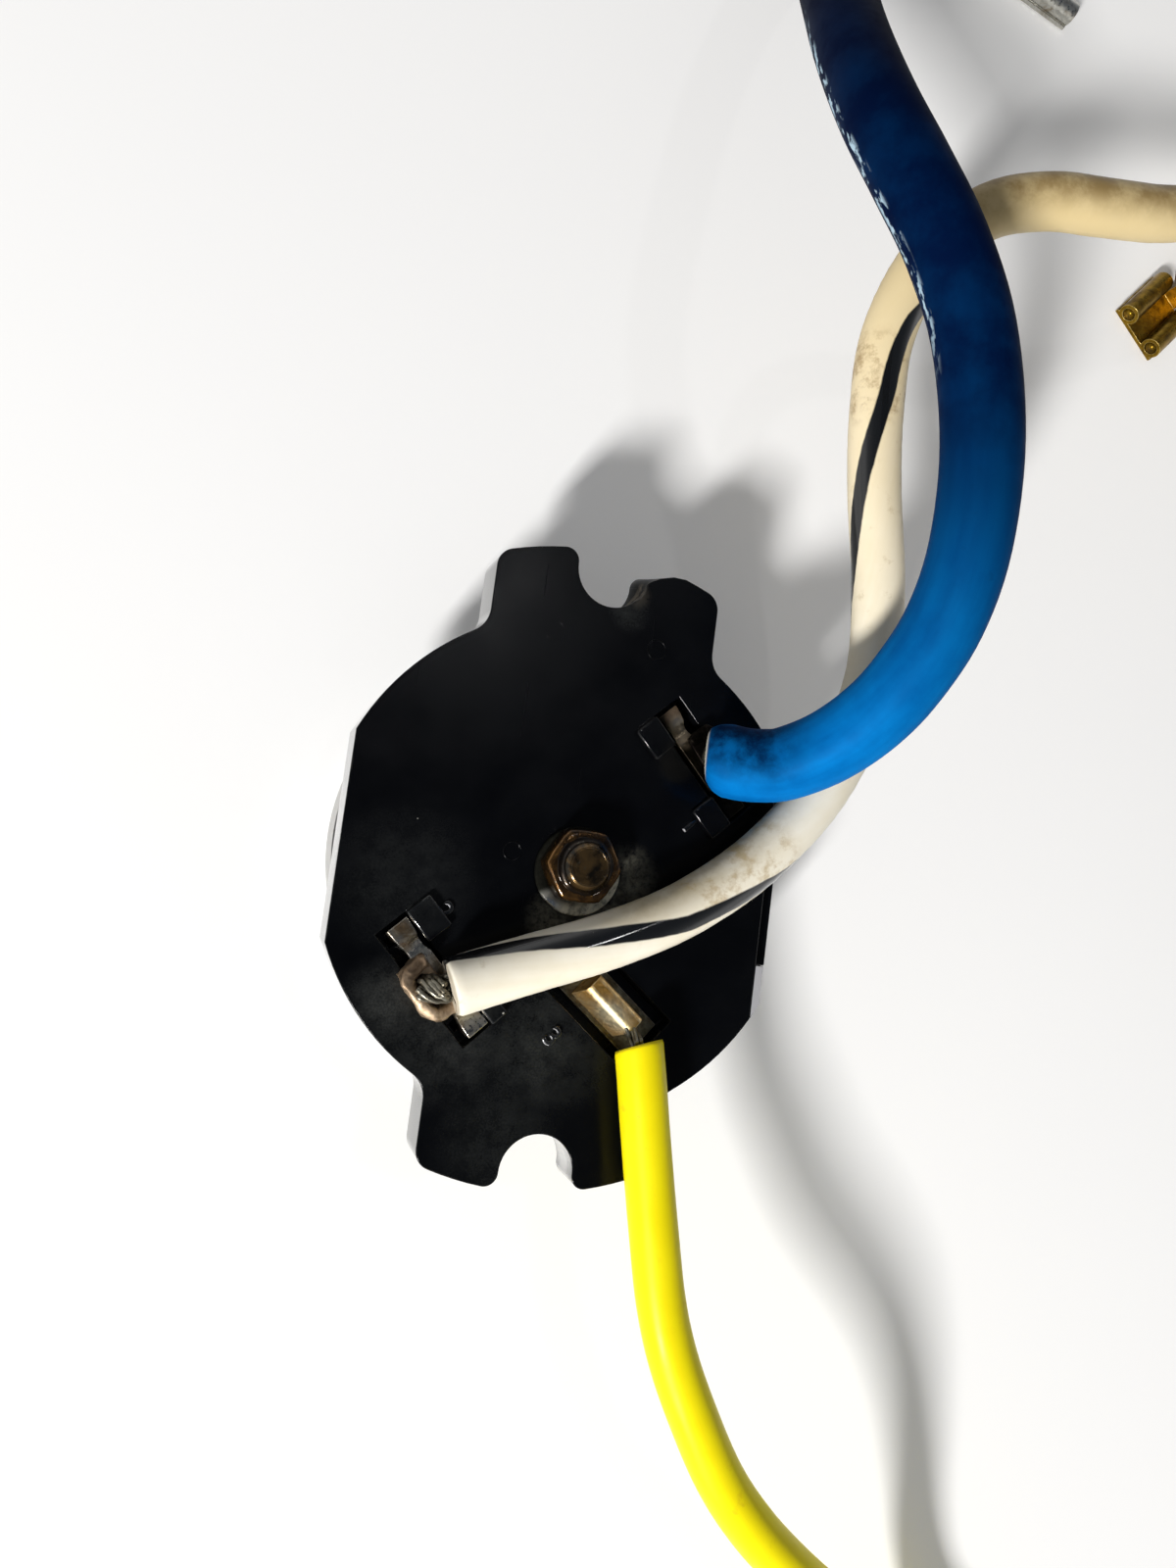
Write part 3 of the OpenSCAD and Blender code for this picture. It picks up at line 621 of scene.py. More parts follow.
def rolled_tube(form, line, radius, sides, girth=None, turn=None, tall=1.0, square=2.0, lean=0.0,
                caps=True):
    """A flat sheet rolled round a line. UV x runs round it, from turn degrees off the top, and y
    along it. tall stretches its section, square above 2 makes it boxy, and lean tips it."""
    frames = carried_frames(line)
    rings = len(line) - 1
    sheet = bmesh.ops.create_grid(form, x_segments=rings, y_segments=sides, size=1.0,
                                  calc_uvs=True)["verts"]
    uv = form.loops.layers.uv.verify()
    places = {v: (round((v.co.x + 1.0) / 2.0 * rings), round((v.co.y + 1.0) / 2.0 * sides))
              for v in sheet}
    for face in {f for v in sheet for f in v.link_faces}:
        for corner in face.loops:
            i, j = places[corner.vert]
            corner[uv].uv = (j / sides, frames[i][0] / frames[-1][0])
    for vert, (i, j) in places.items():
        far, across, up = frames[i]
        spin = math.tau * (j / sides - 0.5) + math.radians(between(turn, far / MM) if turn else 0.0)
        size = radius * (between(girth, far / MM) if girth else 1.0)
        high, wide = math.cos(spin), math.sin(spin)
        high = math.copysign(abs(high) ** (2.0 / square), high) * tall
        wide = math.copysign(abs(wide) ** (2.0 / square), wide) + lean * high
        vert.co = line[i] + (up * high + across * wide) * size
    bmesh.ops.remove_doubles(form, verts=sheet, dist=radius * 1e-3)
    if caps:
        for face in fill_holes(form):
            for corner in face.loops:
                other = next((o for o in corner.vert.link_loops if o.face is not face), corner)
                corner[uv].uv = other[uv].uv
    return form


def spun(profile, sides):
    """A closed profile of (radius, height) points in mm, turned round the axis."""
    form = bmesh.new()
    corners = [form.verts.new((r * MM, 0.0, z * MM)) for r, z in profile]
    edges = [form.edges.new(pair) for pair in zip(corners, corners[1:] + corners[:1])]
    bmesh.ops.spin(form, geom=corners + edges, cent=(0, 0, 0), axis=(0, 0, 1), angle=math.tau,
                   steps=sides, use_merge=True, use_normal_flip=False)
    bmesh.ops.remove_doubles(form, verts=form.verts, dist=1e-7)
    face_out(form)
    return form


def roughen(form, amount, scale, seed=0.0):
    """Small unevenness of a hand-worked piece, amount in mm and scale in bumps per mm."""
    for vert in form.verts:
        place = vert.co / MM * scale + Vector((seed, seed * 1.7, seed * 0.6))
        vert.co += noise.noise_vector(place) * amount * MM


# ---- routes of the leads, in mm

BLUE_ROUTE = [
    (9.9, 11.4, 18.3), (11.3, 11.1, 18.8), (12.8, 10.9, 19.4), (14.4, 10.95, 20.2),
    (16.3, 11.4, 21.3), (18.9, 13.2, 23.9), (21.1, 16.0, 26.7), (22.6, 19.3, 29.1),
    (23.8, 24.0, 31.6), (24.0, 30.0, 33.7), (23.0, 38.0, 35.2), (20.7, 46.4, 35.7),
    (17.5, 53.0, 35.4), (14.3, 58.8, 34.2), (12.1, 65.0, 31.8), (11.3, 73.0, 27.8),
    (11.5, 81.0, 23.6), (12.2, 90.0, 18.6), (14.0, 99.0, 13.3), (17.5, 107.5, 8.6),
    (23.0, 115.3, 5.2), (30.0, 120.0, 4.0), (37.4, 121.2, 4.0), (44.9, 119.6, 4.0)]
WHITE_ROUTE = [
    (-10.4, -11.4, 17.8), (-7.0, -10.0, 17.9), (-3.5, -8.6, 18.0), (3.0, -6.0, 18.2),
    (10.0, -2.3, 18.3), (17.0, 3.5, 18.3), (22.8, 11.4, 18.3), (25.9, 21.2, 18.4),
    (25.2, 30.0, 19.0), (23.1, 38.6, 19.9), (21.7, 45.8, 21.0), (21.2, 52.6, 22.4),
    (23.3, 59.6, 24.2), (27.8, 64.6, 26.0), (33.6, 67.0, 27.2), (40.2, 68.2, 27.8),
    (47.0, 69.8, 28.0), (56.4, 73.7, 27.9), (65.8, 78.0, 27.4), (74.5, 83.4, 26.4),
    (81.9, 90.15, 25.1), (84.6, 93.4, 24.2), (87.0, 96.1, 21.9), (88.5, 97.9, 18.3),
    (89.0, 98.5, 14.1), (88.5, 97.9, 9.9), (87.0, 96.1, 6.3), (84.6, 93.4, 3.9), (81.9, 90.15, 3.1),
    (78.35, 85.96, 3.1)]
YELLOW_ROUTE = [
    (7.2, -15.0, 17.3), (7.8, -18.0, 17.5), (8.6, -22.0, 17.6), (9.5, -26.4, 17.8),
    (10.5, -31.2, 18.1), (11.7, -36.4, 18.4), (13.3, -41.0, 18.7), (15.7, -45.8, 19.0),
    (19.0, -51.2, 19.1), (22.8, -55.6, 19.1), (27.3, -59.6, 18.8), (32.6, -63.8, 17.6),
    (38.0, -68.2, 15.2), (43.4, -72.6, 11.6), (48.8, -76.6, 7.4), (54.4, -80.0, 4.2),
    (60.4, -82.9, 2.8), (66.8, -85.9, 2.8)]
BLUE_STRANDS = [(12.2, 12.0, 15.8), (11.5, 11.7, 17.0), (11.2, 11.3, 18.5)]
WHITE_STRANDS = [(-12.5, -11.9, 16.4), (-11.5, -11.7, 17.0), (-10.4, -11.4, 17.8)]
YELLOW_STRANDS = [(5.3, -12.6, 15.6), (6.6, -13.8, 16.0), (7.2, -15.0, 17.3)]

# The push-on terminals' rolled edges and grip, in mm
ROLL_R, ROLL_LENGTH = 0.72, 7.9
ROLL_AHEAD, ROLL_ASIDE, ROLL_UP = 7.5, 2.6, 1.3
GRIP_WALL = 0.55
CUT_REACH = 3.0  # how far along a lead its slanted cut shows, in mm
TWIST = 0.35  # turns of a bared conductor


def push_on(lead, route, diameter, finish):
    """The push-on terminal at a lead's far end, with its long edges rolled up tight."""
    before, end = Vector(route[-2]), Vector(route[-1])
    node = f"{lead}_lead_terminal"
    form = break_edges(merged_copy(node), 0.06, 40.0)
    run = (end - before).normalized()
    aside = Vector((-run.y, run.x, 0.0)) * ROLL_ASIDE
    lift = UP * (ROLL_UP - diameter / 2 - GRIP_WALL)
    for side in (-1.0, 1.0):
        middle = end + run * ROLL_AHEAD + aside * side + lift
        bmesh.ops.create_cone(form, cap_ends=True, segments=24, radius1=ROLL_R * MM,
                              radius2=ROLL_R * MM, depth=ROLL_LENGTH * MM,
                              matrix=Matrix.Translation(middle * MM)
                              @ run.to_track_quat("Z", "Y").to_matrix().to_4x4())
    return set_piece(f"{lead}_push_on", form, finish, replaces=[node])


def set_lead(lead, route, diameter, finish, metal, girth=None, turn=None,
             slant=(0.0, 0.0)):
    """One insulated lead, from its cut end at the terminal to the push-on terminal at its far end.
    slant says how much further back the cut runs on one side, and forward at its top."""
    terminal = push_on(lead, route, diameter, metal)
    name = f"{lead}_insulation"
    line = smooth_line(route, 6)
    form = rolled_tube(bmesh.new(), line, diameter / 2 * MM, 28, girth, turn)
    face_out(form)
    run = (line[2] - line[0]).normalized()
    side = run.cross(UP).normalized()
    for vert in form.verts:
        gap = vert.co - line[0]
        if gap.length < diameter * MM:
            back = slant[0] * gap.dot(side) - slant[1] * gap.dot(side.cross(run))
            vert.co += run * back * max(0.0, 1.0 - abs(gap.dot(run)) / (CUT_REACH * MM))
    piece = set_piece(name, form, finish, replaces=[f"{lead}_lead"], weighted=False)


def set_strands(lead, route, bundle, wire_size, count, finish, seed):
    """A bared conductor: twisted strands, each one a thin bent wire."""
    chance = random.Random(seed)
    centre = smooth_line(route, 5)
    frames = carried_frames(centre)
    form = bmesh.new()
    for k in range(count):
        ring = 0.0 if k == 0 else (0.55 if k <= count // 3 else 1.0)
        start = math.tau * k * 0.381966
        reach = (bundle / 2 - wire_size / 2) * MM * ring
        line = []
        for point, (far, across, up) in zip(centre, frames):
            spin = start + math.tau * TWIST * far / frames[-1][0]
            wander = 1.0 + chance.uniform(-0.12, 0.12)
            line.append(point + (up * math.cos(spin) + across * math.sin(spin)) * reach * wander)
        rolled_tube(form, line, wire_size / 2 * MM, 8, caps=False)
    fill_holes(form)
    face_out(form)
    set_piece(f"{lead}_strands", form, finish, replaces=[f"{lead}_conductor"],
              weighted=False)


# ---- pieces, in mm

WASHER_R, WASHER_HOLE = 3.95, 2.55
WASHER_SLIP = (0.15, -0.50, 0.0)
STRIP_R = 15.82  # from the axis to the middle of terminals 1 and 2
TERMINALS = {1: 45.0, 2: 225.0}  # turned about the axis, in degrees
BLOCK_IN, BLOCK_OUT, BLOCK_EDGE = 2.9, 6.2, -1.5  # the moulded blocks beside each terminal
BLOCK_LOW, BLOCK_HIGH = 14.0, 15.62
CASE_R = 22.58
STEP_IN, STEP_OUT, STEP_SIDE = 19.07, 19.86, -7.15  # the three cuts that shape the step's end
STEP_DEEP, STEP_MIDDLE = 2.4, 13.75
NEST_WALL, NEST_FLOOR = 0.62, 15.15
THREAD_PITCH, THREAD_DEPTH, THREAD_R = 0.79, 0.26, 2.085
BARREL_TURN, BARREL_MIDDLE = -38.5, (4.7, -11.9, 0.0)


def at_terminal(number):
    """The place of terminal 1 or 2: x along its strip, y outwards from the axis."""
    return (Matrix.Rotation(math.radians(TERMINALS[number] - 90.0), 4, "Z")
            @ Matrix.Translation((0.0, STRIP_R * MM, 0.0)))


def add_block(form, place, low, high, width, segments=3, shine=1.0):
    """A moulded block with rounded edges, between two corners in mm, set into a form."""
    middle = (Vector(low) + Vector(high)) / 2 * MM
    reach = (Vector(high) - Vector(low)) * MM
    made = bmesh.ops.create_cube(form, size=1.0, matrix=place @ Matrix.Translation(middle)
                                 @ Matrix.Diagonal((*reach, 1.0)))["verts"]
    edges = list({e for v in made for e in v.link_edges})
    round_off(form, edges, width, segments, edge=1.0, polish=shine)


def step_end(finish):
    """The lower end of the step, level with the face, its top pale grey: a slice of a disc of the
    case's radius."""
    form = bmesh.new()
    bmesh.ops.create_cone(form, cap_ends=True, segments=256, radius1=CASE_R * MM,
                          radius2=CASE_R * MM, depth=STEP_DEEP * MM,
                          matrix=Matrix.Translation((0.0, 0.0, STEP_MIDDLE * MM)))
    for place, away in (((STEP_IN, 0, 0), (-1, 0, 0)), ((STEP_OUT, 0, 0), (1, 0, 0)),
                        ((0, STEP_SIDE, 0), (0, 1, 0))):
        slice_form(form, Vector(place) * MM, away, drop=True)
        fill_holes(form)
    face_out(form)
    break_edges(form, 0.05)
    form.normal_update()
    mark(form, [f for f in form.faces if f.normal.z > 0.6], pale=1.0)
    set_piece("step_end", form, finish)


def moulded_case(finish):
    """The case as it came from the mould, with rounded rims and the glossy blocks by the terminals.
    One corner beside the first ear's slot is knocked off."""
    form = break_edges(merged_copy("case_moulding"), 0.14)
    for vert in form.verts:
        x, y, z = vert.co / MM
        if x > 2.5 and y > 24.0:
            knocked = (between([(2.5, 1.0), (4.2, 1.0), (6.6, 0.0)], x)
                       * between([(24.5, 0.0), (28.0, 1.0)], y)
                       * between([(10.2, 0.0), (12.6, 0.8), (15.0, 1.0)], z))
            vert.co.y -= 1.2 * MM * knocked
    for number, side, deep, shine in ((1, -1, 2.5, 0.25), (1, 1, 2.5, 0.25), (2, 1, 2.5, 1.0),
                                      (2, -1, 1.7, 1.0)):
        inner, outer = sorted((side * BLOCK_IN, side * BLOCK_OUT))
        add_block(form, at_terminal(number), (inner, BLOCK_EDGE - deep, BLOCK_LOW),
                  (outer, BLOCK_EDGE, BLOCK_HIGH), 0.22, shine=shine)
    set_piece("moulded_case", form, finish, replaces=["case_moulding"])


def raised_numeral(digit, place, turn, finish, size=2.5):
    """A moulded numeral beside its terminal, made a mesh before it is put in place."""
    words = bpy.data.curves.new("numeral", "FONT")
    words.body = digit
    words.size = size * MM
    words.extrude = 0.12 * MM
    words.bevel_depth = 0.13 * MM
    words.bevel_resolution = 3
    words.offset = -0.05 * MM
    words.align_x, words.align_y = "CENTER", "CENTER"
    holder = add_to_scene("numeral", words)
    bpy.context.view_layer.update()
    shapes = bpy.context.evaluated_depsgraph_get()
    mesh = bpy.data.meshes.new_from_object(holder.evaluated_get(shapes), depsgraph=shapes)
    bpy.data.objects.remove(holder)
    form = bmesh.new()
    form.from_mesh(mesh)
    bpy.data.meshes.remove(mesh)
    bmesh.ops.remove_doubles(form, verts=form.verts, dist=1e-7)
    bmesh.ops.transform(form, verts=form.verts, matrix=Matrix.Translation(Vector(place) * MM)
                        @ Matrix.Rotation(math.radians(turn), 4, "Z"))
    form.normal_update()
    # Painted highlight: numeral faces that turn towards the key lamp are marked pale and show light
    # grey.
    rub_and_glint = Vector((-0.55, -0.60, 0.58))
    mark(form, form.faces, edge=0.6, polish=1.0, pale=0.0)
    mark(form, [f for f in form.faces if f.normal.dot(rub_and_glint) > 0.80], pale=0.9)
    set_piece(f"numeral_{digit}", form, finish, weighted=False)


def mould_ring(name, place, radius, finish):
    """The faint raised ring that a pin of the mould leaves."""
    line = [(Vector(place) + Vector((math.cos(a), math.sin(a), 0.0)) * radius) * MM
            for a in (math.radians(d) for d in range(20, 341, 10))]
    form = rolled_tube(bmesh.new(), line, 0.07 * MM, 8)
    face_out(form)
    set_piece(name, form, finish, weighted=False)


def bent_strip(number, finish):
    """A terminal strip with waisted arms that dip beside the nest and rise to their ends."""
    place = at_terminal(number)
    form = merged_copy(f"terminal_strip_{number}")
    bmesh.ops.transform(form, matrix=place.inverted(), verts=form.verts)
    for cut in (2.6, 3.0, 3.4, 3.8, 4.2, 4.6):
        for side in (-1.0, 1.0):
            slice_form(form, (side * cut * MM, 0.0, 0.0), (1.0, 0.0, 0.0))
    for vert in form.verts:
        x, y, z = vert.co / MM
        if z < 13.6:
            continue
        arm = abs(x)
        rise = between([(3.0, 0.0), (3.4, 0.02), (3.8, 0.18), (4.2, 0.42), (4.6, 0.54),
                        (6.0, 0.58)], arm)
        waist = between([(2.2, 0.80), (3.0, 0.66), (3.6, 0.64), (4.2, 0.78), (5.0, 0.88)], arm)
        longer = between([(4.2, 0.0), (5.0, 0.85)], arm)
        vert.co = Vector((math.copysign(arm + longer, x), -0.30 + y * waist, z + rise)) * MM
    break_edges(form, 0.10)
    bmesh.ops.transform(form, matrix=place, verts=form.verts)
    set_piece(f"strip_{number}", form, finish, replaces=[f"terminal_strip_{number}"])


def formed_nest(number, finish, tall):
    """The weld nest: a floor with one thick rolled wall round three sides, pressed by hand."""
    place = at_terminal(number)
    plan = [(-2.2, -0.35), (-2.24, 0.4), (-2.22, 1.2), (-1.85, 1.82), (-1.1, 1.98), (0.0, 2.0),
            (1.1, 1.98), (1.85, 1.82), (2.22, 1.2), (2.24, 0.4), (2.2, -0.35)]
    line = smooth_line([(x, y, NEST_FLOOR + NEST_WALL * tall) for x, y in plan], 4)
    form = rolled_tube(bmesh.new(), line, NEST_WALL * MM, 24, tall=tall, square=3.4, lean=-0.06,
                       girth=[(0.0, 0.88), (1.2, 1.0), (7.0, 1.02), (8.8, 1.0)])
    add_block(form, Matrix.Identity(4), (-2.5, -0.45, 15.12), (2.5, 2.2, 15.75), 0.15, 2)
    roughen(form, 0.26, 0.80, number * 3.1)
    roughen(form, 0.09, 2.2, number * 1.3)
    face_out(form)
    bmesh.ops.transform(form, matrix=place, verts=form.verts)
    set_piece(f"nest_{number}", form, finish, replaces=[f"weld_nest_{number}"],
              weighted=False)


def folded_barrel(finish):
    """The crimp barrel: its long top edges folded well over, its ends nearly square, one flank
    leaning."""
    form = merged_copy("crimp_barrel_3")
    top = max(v.co.z for v in form.verts) - 0.01 * MM
    folds = [e for e in form.edges
             if min(v.co.z for v in e.verts) > top and e.calc_length() > 4.0 * MM]
    round_off(form, folds, 0.5, 4, edge=0.8)
    break_edges(form, 0.07, 40.0)
    low, high = min(v.co.z for v in form.verts), max(v.co.z for v in form.verts)
    across = Matrix.Rotation(math.radians(BARREL_TURN), 3, "Z") @ Vector((0.0, 1.0, 0.0))
    middle = Vector(BARREL_MIDDLE) * MM
    for vert in form.verts:
        if (vert.co - middle).dot(across) < 0.0:
            vert.co += across * between([(low, -0.45), (high, 0.55)], vert.co.z) * MM
    # The corners along the leaning flank's foot are marked as edges, so the finish paints a bright
    # line there: worn metal and a painted highlight.
    layer = form.loops.layers.float["edge"]
    for corner in (c for f in form.faces for c in f.loops):
        place = corner.vert.co
        if (place - middle).dot(across) < -1.1 * MM and place.z < low + 0.5 * MM:
            corner[layer] = 1.0
    set_piece("barrel_3", form, finish, replaces=["crimp_barrel_3"])


def loose_washer(finish):
    """The flat washer, which has slipped to one side under the nut."""
    profile = [(WASHER_HOLE, 15.02), (WASHER_R - 0.1, 15.02), (WASHER_R, 15.1), (WASHER_R, 15.46),
               (WASHER_R - 0.05, 15.56), (WASHER_R - 0.16, 15.6), (WASHER_HOLE, 15.6)]
    form = spun(profile, 96)
    bmesh.ops.translate(form, verts=form.verts, vec=Vector(WASHER_SLIP) * MM)
    set_piece("washer", form, finish, replaces=["flat_washer"], weighted=False)


def round_axis(vert):
    """A point's distance from the axis, in mm, and its turn about it."""
    return math.hypot(vert.co.x, vert.co.y) / MM, math.atan2(vert.co.y, vert.co.x)


def rounded_nut(finish):
    """The lock nut: a turned blank pulled out to a hexagon with well-worn corners."""
    profile = [(2.16, 15.6), (3.05, 15.6), (3.17, 15.68), (3.17, 16.4), (3.17, 17.15),
               (3.13, 17.42), (3.02, 17.60), (2.86, 17.69), (2.62, 17.70), (2.42, 17.66),
               (2.22, 17.52), (2.16, 17.3)]
    form = spun(profile, 96)
    for vert in form.verts:
        r, a = round_axis(vert)
        out = between([(2.5, 0.0), (2.9, 1.0)], r)
        hexagon = 1.0 / math.cos(a % (math.pi / 3) - math.pi / 6)
        worn = min(hexagon, 1.03 + 0.55 * (hexagon - 1.03))
        grow = 1.0 + (worn - 1.0) * out
        vert.co.x *= grow
        vert.co.y *= grow
    face_out(form)
    roughen(form, 0.03, 1.4, 2.0)
    set_piece("nut", form, finish, replaces=["lock_nut"], weighted=False)


def threaded_end(finish):
    """The stud's end thread, cut into a turned sleeve on the screw."""
    rows = [17.2 + 0.06 * k for k in range(22)]
    flank = [(THREAD_R, z) for z in reversed(rows)]
    form = spun([(1.60, 18.81), (1.72, 18.79)] + flank + [(1.60, 17.2)], 72)
    for vert in form.verts:
        r, a = round_axis(vert)
        z = vert.co.z / MM
        if r > 1.9:
            phase = (z / THREAD_PITCH - a / math.tau) % 1.0
            depth = THREAD_DEPTH * abs(2.0 * phase - 1.0) * between([(18.0, 1.0), (18.46, 0.55)], z)
            vert.co.x *= (r - depth) / r
            vert.co.y *= (r - depth) / r
    face_out(form)
    set_piece("stud_thread", form, finish, weighted=False)


def sealing_lacquer(finish):
    """The brown lacquer that holds the screw's setting, run in round the stud on top of the nut."""
    profile = [(2.00, 18.15), (2.10, 17.98), (2.20, 17.84), (2.34, 17.76), (2.48, 17.72),
               (2.58, 17.69), (2.58, 17.60), (2.00, 17.60)]
    form = spun(profile, 64)
    roughen(form, 0.09, 0.9, 5.0)
    face_out(form)
    set_piece("sealing_lacquer", form, finish, weighted=False)


# ---- build

set_camera()
set_lamp("key", (-0.449, -0.613, 0.520), (0.09, 0.15), 10.7, (1.0, 0.985, 0.965))
set_lamp("spark", (0.510, 0.780, 2.850), (0.10, 0.10), 2.1, (1.0, 1.0, 1.0))
set_sky()
set_table()

phenolic = black_phenolic()
tin = plated_metal(
    "tin_plate", (0.36, 0.355, 0.32), (0.56, 0.55, 0.50), (0.22, 0.17, 0.11), stained=(0.50, 0.72),
    rub_and_glint=(0.74, 0.72, 0.66))
# Its spot is a painted highlight on the bend of strip 2's upper arm.
dull_tin = plated_metal(
    "tarnished_tin", (0.38, 0.35, 0.28), (0.60, 0.56, 0.47), (0.17, 0.12, 0.07),
    stained=(0.42, 0.66), rub_and_glint=(0.85, 0.80, 0.68), roughness=(0.20, 0.36),
    spots=[((-14.6, -9.2, 15.5), 1.7, (0.95, 0.93, 0.86))])
dark_tin = plated_metal(
    "darkened_tin", (0.009, 0.007, 0.005), (0.021, 0.017, 0.012), (0.006, 0.005, 0.004),
    stained=(0.38, 0.62), rub_and_glint=(0.030, 0.024, 0.017), roughness=(0.30, 0.48),
    spots=[((7.8, 14.9, 15.4), 1.5, (0.48, 0.33, 0.20)),
           ((8.4, 14.0, 15.3), 1.5, (0.66, 0.56, 0.40)),
           ((8.9, 13.0, 15.2), 1.4, (0.42, 0.33, 0.22))])
olive_tin = plated_metal(
    "olive_tin", (0.15, 0.135, 0.085), (0.30, 0.27, 0.18), (0.085, 0.062, 0.030),
    stained=(0.40, 0.66), rub_and_glint=(0.66, 0.58, 0.42), roughness=(0.28, 0.46))
# Its dark spot is painted shade on the upper end wall of nest 2.
copper = plated_metal(
    "browned_copper", (0.38, 0.275, 0.180), (0.64, 0.49, 0.335), (0.19, 0.125, 0.075),
    stained=(0.44, 0.70), roughness=(0.42, 0.60), scale=700.0, dent=0.05,
    spots=[((-13.5, -9.7, 17.0), 3.2, (0.080, 0.050, 0.030))])
# Near-black copper for nest 1.
near_black_copper = plated_metal(
    "near_black_copper", (0.006, 0.005, 0.004), (0.014, 0.011, 0.008), (0.004, 0.003, 0.003),
    stained=(0.40, 0.66), roughness=(0.36, 0.55), scale=700.0)
brass = plated_metal(
    "yellow_brass", (0.62, 0.42, 0.14), (0.78, 0.57, 0.23), (0.40, 0.24, 0.07),
    stained=(0.50, 0.80), rub_and_glint=(0.90, 0.74, 0.40), scale=180.0, dent=0.01)
old_brass = plated_metal(
    "browned_brass", (0.17, 0.098, 0.006), (0.31, 0.19, 0.022), (0.085, 0.045, 0.004),
    stained=(0.42, 0.70), rub_and_glint=(0.66, 0.50, 0.18), scale=650.0)
# Its two pale spots paint light on the barrel's leaning flank: a painted highlight.
gold_brass = plated_metal(
    "orange_brass", (0.54, 0.28, 0.06), (0.78, 0.46, 0.13), (0.30, 0.16, 0.04),
    stained=(0.46, 0.72), rub_and_glint=(0.95, 0.80, 0.48), scale=800.0, roughness=(0.32, 0.52),
    spots=[((4.2, -12.7, 16.2), 2.3, (1.0, 0.90, 0.62)),
           ((5.2, -13.5, 16.2), 2.3, (1.0, 0.90, 0.62))])
strand_metal = plated_metal(
    "tinned_strands", (0.15, 0.14, 0.105), (0.34, 0.32, 0.26), (0.09, 0.072, 0.045),
    roughness=(0.30, 0.50), scale=900.0)
silver = plated_metal(
    "contact_silver", (0.72, 0.71, 0.69), (0.86, 0.85, 0.83), (0.40, 0.37, 0.33),
    stained=(0.55, 0.80))
bimetal = plated_metal(
    "bimetal", (0.46, 0.43, 0.37), (0.60, 0.57, 0.50), (0.36, 0.28, 0.20), scale=150.0, dent=0.01,
    brushed=(3000.0, 120.0, 3000.0))
ribbon = plated_metal(
    "resistance_ribbon", (0.30, 0.29, 0.28), (0.44, 0.43, 0.41), (0.22, 0.15, 0.11))
nut_finish = lacquered_brass(
    "lacquered_nut", (0.190, 0.092, 0.022), (0.022, 0.010, 0.003), (0.32, 0.66))
stud_finish = lacquered_brass(
    "lacquered_stud", (0.15, 0.088, 0.030), (0.010, 0.007, 0.003), (0.34, 0.64))
lacquer = lacquered_brass(
    "brown_lacquer", (0.030, 0.016, 0.005), (0.009, 0.005, 0.002), (0.30, 0.62))
cover_steel = drawn_steel()
paper = matt_board("liner_paper", (0.50, 0.41, 0.27), (0.38, 0.30, 0.19))
ceramic = matt_board("bush_ceramic", (0.72, 0.69, 0.62), (0.60, 0.57, 0.50), 1400.0, 0.5)

# Painted shade: the blue lead darkens towards its far end and on the side of its cut end that faces
# y.
blue = lead_insulation(
    "blue_insulation", (0.002, 0.215, 0.63), (0.001, 0.115, 0.39), 152.0, (0.004, 0.12, 0.36),
    age_and_shade=[(2.0, 46.0, (0.0002, 0.0050, 0.030)), (48.0, 95.0, (0.0001, 0.0015, 0.010))],
    scuffs=(48.0, 82.0, 0.350, (0.40, 0.55, 0.66)),
    grime_and_shade=[(-6.0, 9.0, 1.0, -1.0, 0.20, (0.0006, 0.016, 0.066))],
    bands=[(-2.0, 0.12, 1.0, 0.15, (0.66, 0.62, 0.50))], gloss=(0.42, 0.58), specular=0.01)
# Painted shade: the side of the white lead's far part that faces y is darkened; its other marks are
# stains and yellowing.
white = lead_insulation(
    "white_insulation", (0.95, 0.90, 0.77), (0.86, 0.79, 0.62), 200.0, (0.45, 0.35, 0.20),
    tracer=0.050, age_and_shade=[(38.0, 100.0, (0.71, 0.565, 0.30))],
    grime_and_shade=[(14.0, 36.0, 0.70, -0.10, 0.80, (0.40, 0.30, 0.13)),
           (96.0, 150.0, 0.95, -1.05, 0.15, (0.27, 0.180, 0.065))],
    bands=[(-2.0, 0.08, 0.8, 0.4, (0.20, 0.15, 0.09)), (22.0, 33.0, 0.62, 0.95, (0.42, 0.28, 0.09)),
           (76.0, 83.0, 0.70, 0.95, (0.26, 0.15, 0.05))])
yellow = lead_insulation(
    "yellow_insulation", (0.97, 0.84, 0.004), (0.92, 0.76, 0.004), 102.0, (0.74, 0.54, 0.01),
    bands=[(0.02, 0.16, 0.6, 0.5, (0.42, 0.28, 0.05))])

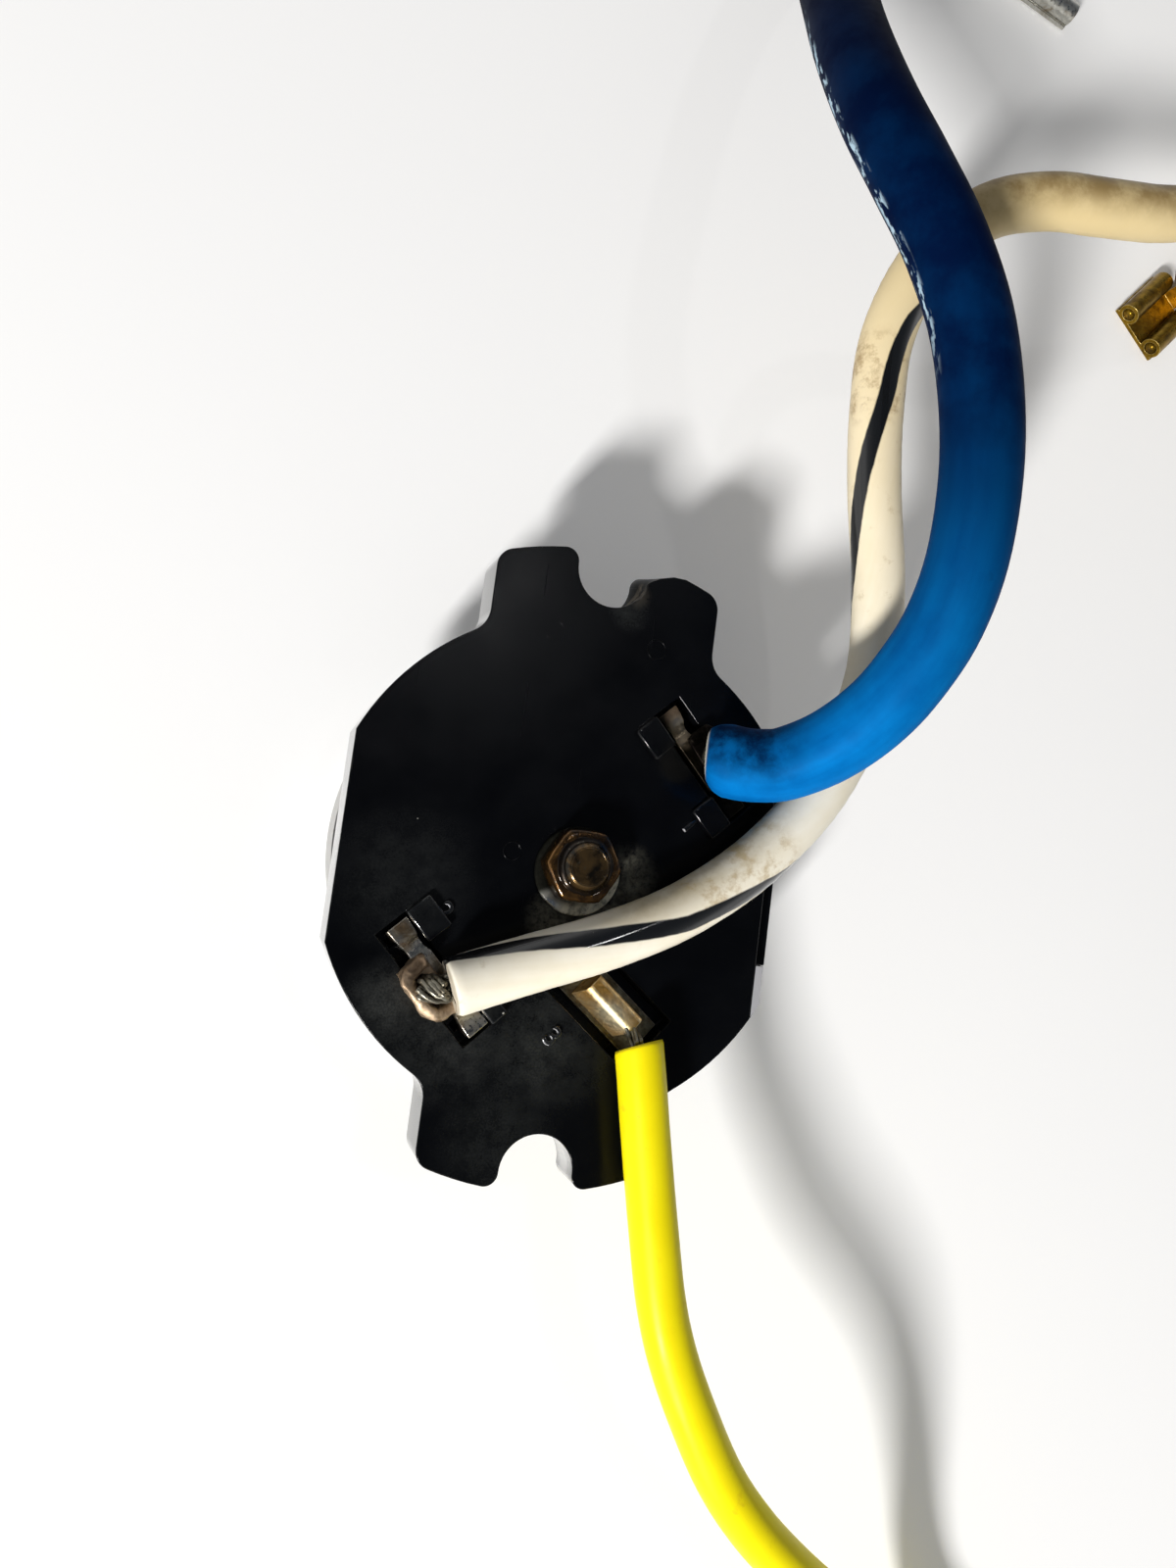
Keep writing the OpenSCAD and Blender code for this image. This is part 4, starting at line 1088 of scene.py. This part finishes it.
set_lead(
    "blue", BLUE_ROUTE, 6.6, blue, tin, slant=(0.22, 0.20),
    girth=[(0.0, 0.58), (0.15, 0.70), (0.45, 0.80), (1.0, 0.91), (2.0, 1.0)])
set_lead(
    "white", WHITE_ROUTE, 5.0, white, old_brass,
    girth=[(0.0, 0.92), (0.12, 0.97), (0.4, 1.0)],
    turn=[(0.0, -86.0), (4.0, -66.0), (12.0, -28.0), (20.5, 15.0), (27.5, 39.0), (32.0, 69.0),
          (61.0, 248.0), (72.5, 313.0), (77.5, 347.0), (82.5, 363.0), (85.0, 376.0), (97.0, 500.0),
          (122.0, 580.0), (201.0, 760.0)])
set_lead(
    "yellow", YELLOW_ROUTE, 4.4, yellow, tin, slant=(0.10, 0.24),
    girth=[(0.0, 0.97), (0.10, 0.99), (0.2, 1.0)])
set_strands("blue", BLUE_STRANDS, 2.8, 0.50, 19, strand_metal, seed=3)
set_strands("white", WHITE_STRANDS, 2.5, 0.48, 16, strand_metal, seed=5)
set_strands("yellow", YELLOW_STRANDS, 1.3, 0.36, 8, strand_metal, seed=7)

moulded_case(phenolic)
step_end(phenolic)
for digit, x, y, turn in (("1", 10.55, 5.05, -45.0), ("2", -11.3, -5.4, -45.0),
                          ("3", -0.2, -15.2, -40.0)):
    raised_numeral(digit, (x, y, FACE), turn, phenolic)
for ring, x, y, radius in ((1, -4.8, 20.5, 0.9), (2, 5.1, 20.6, 0.9), (3, -5.95, 0.5, 0.8)):
    mould_ring(f"mould_ring_{ring}", (x, y, FACE), radius, phenolic)
worn_copy("drawn_cover", "front_cover", cover_steel, 0.05, 40.0)
bent_strip(1, dark_tin)
bent_strip(2, dull_tin)
worn_copy("strip_3", "terminal_strip_3", olive_tin, 0.10)
formed_nest(1, near_black_copper, 0.85)
formed_nest(2, copper, 1.62)
folded_barrel(gold_brass)
loose_washer(dusty_washer())
rounded_nut(nut_finish)
worn_copy("screw", "calibrating_screw", stud_finish, 0.10, 40.0)
threaded_end(stud_finish)
sealing_lacquer(lacquer)

for node, finish in {
        "cover_liner": paper, "contact_plate_1": brass, "contact_plate_2": brass,
        "heater_strap": brass, "fixed_contact_1": silver, "fixed_contact_2": silver,
        "moving_contacts": silver, "snap_disc": bimetal, "heater_ribbon": ribbon,
        "insulating_bush": ceramic}.items():
    nodes[node].data.materials.clear()
    nodes[node].data.materials.append(finish)
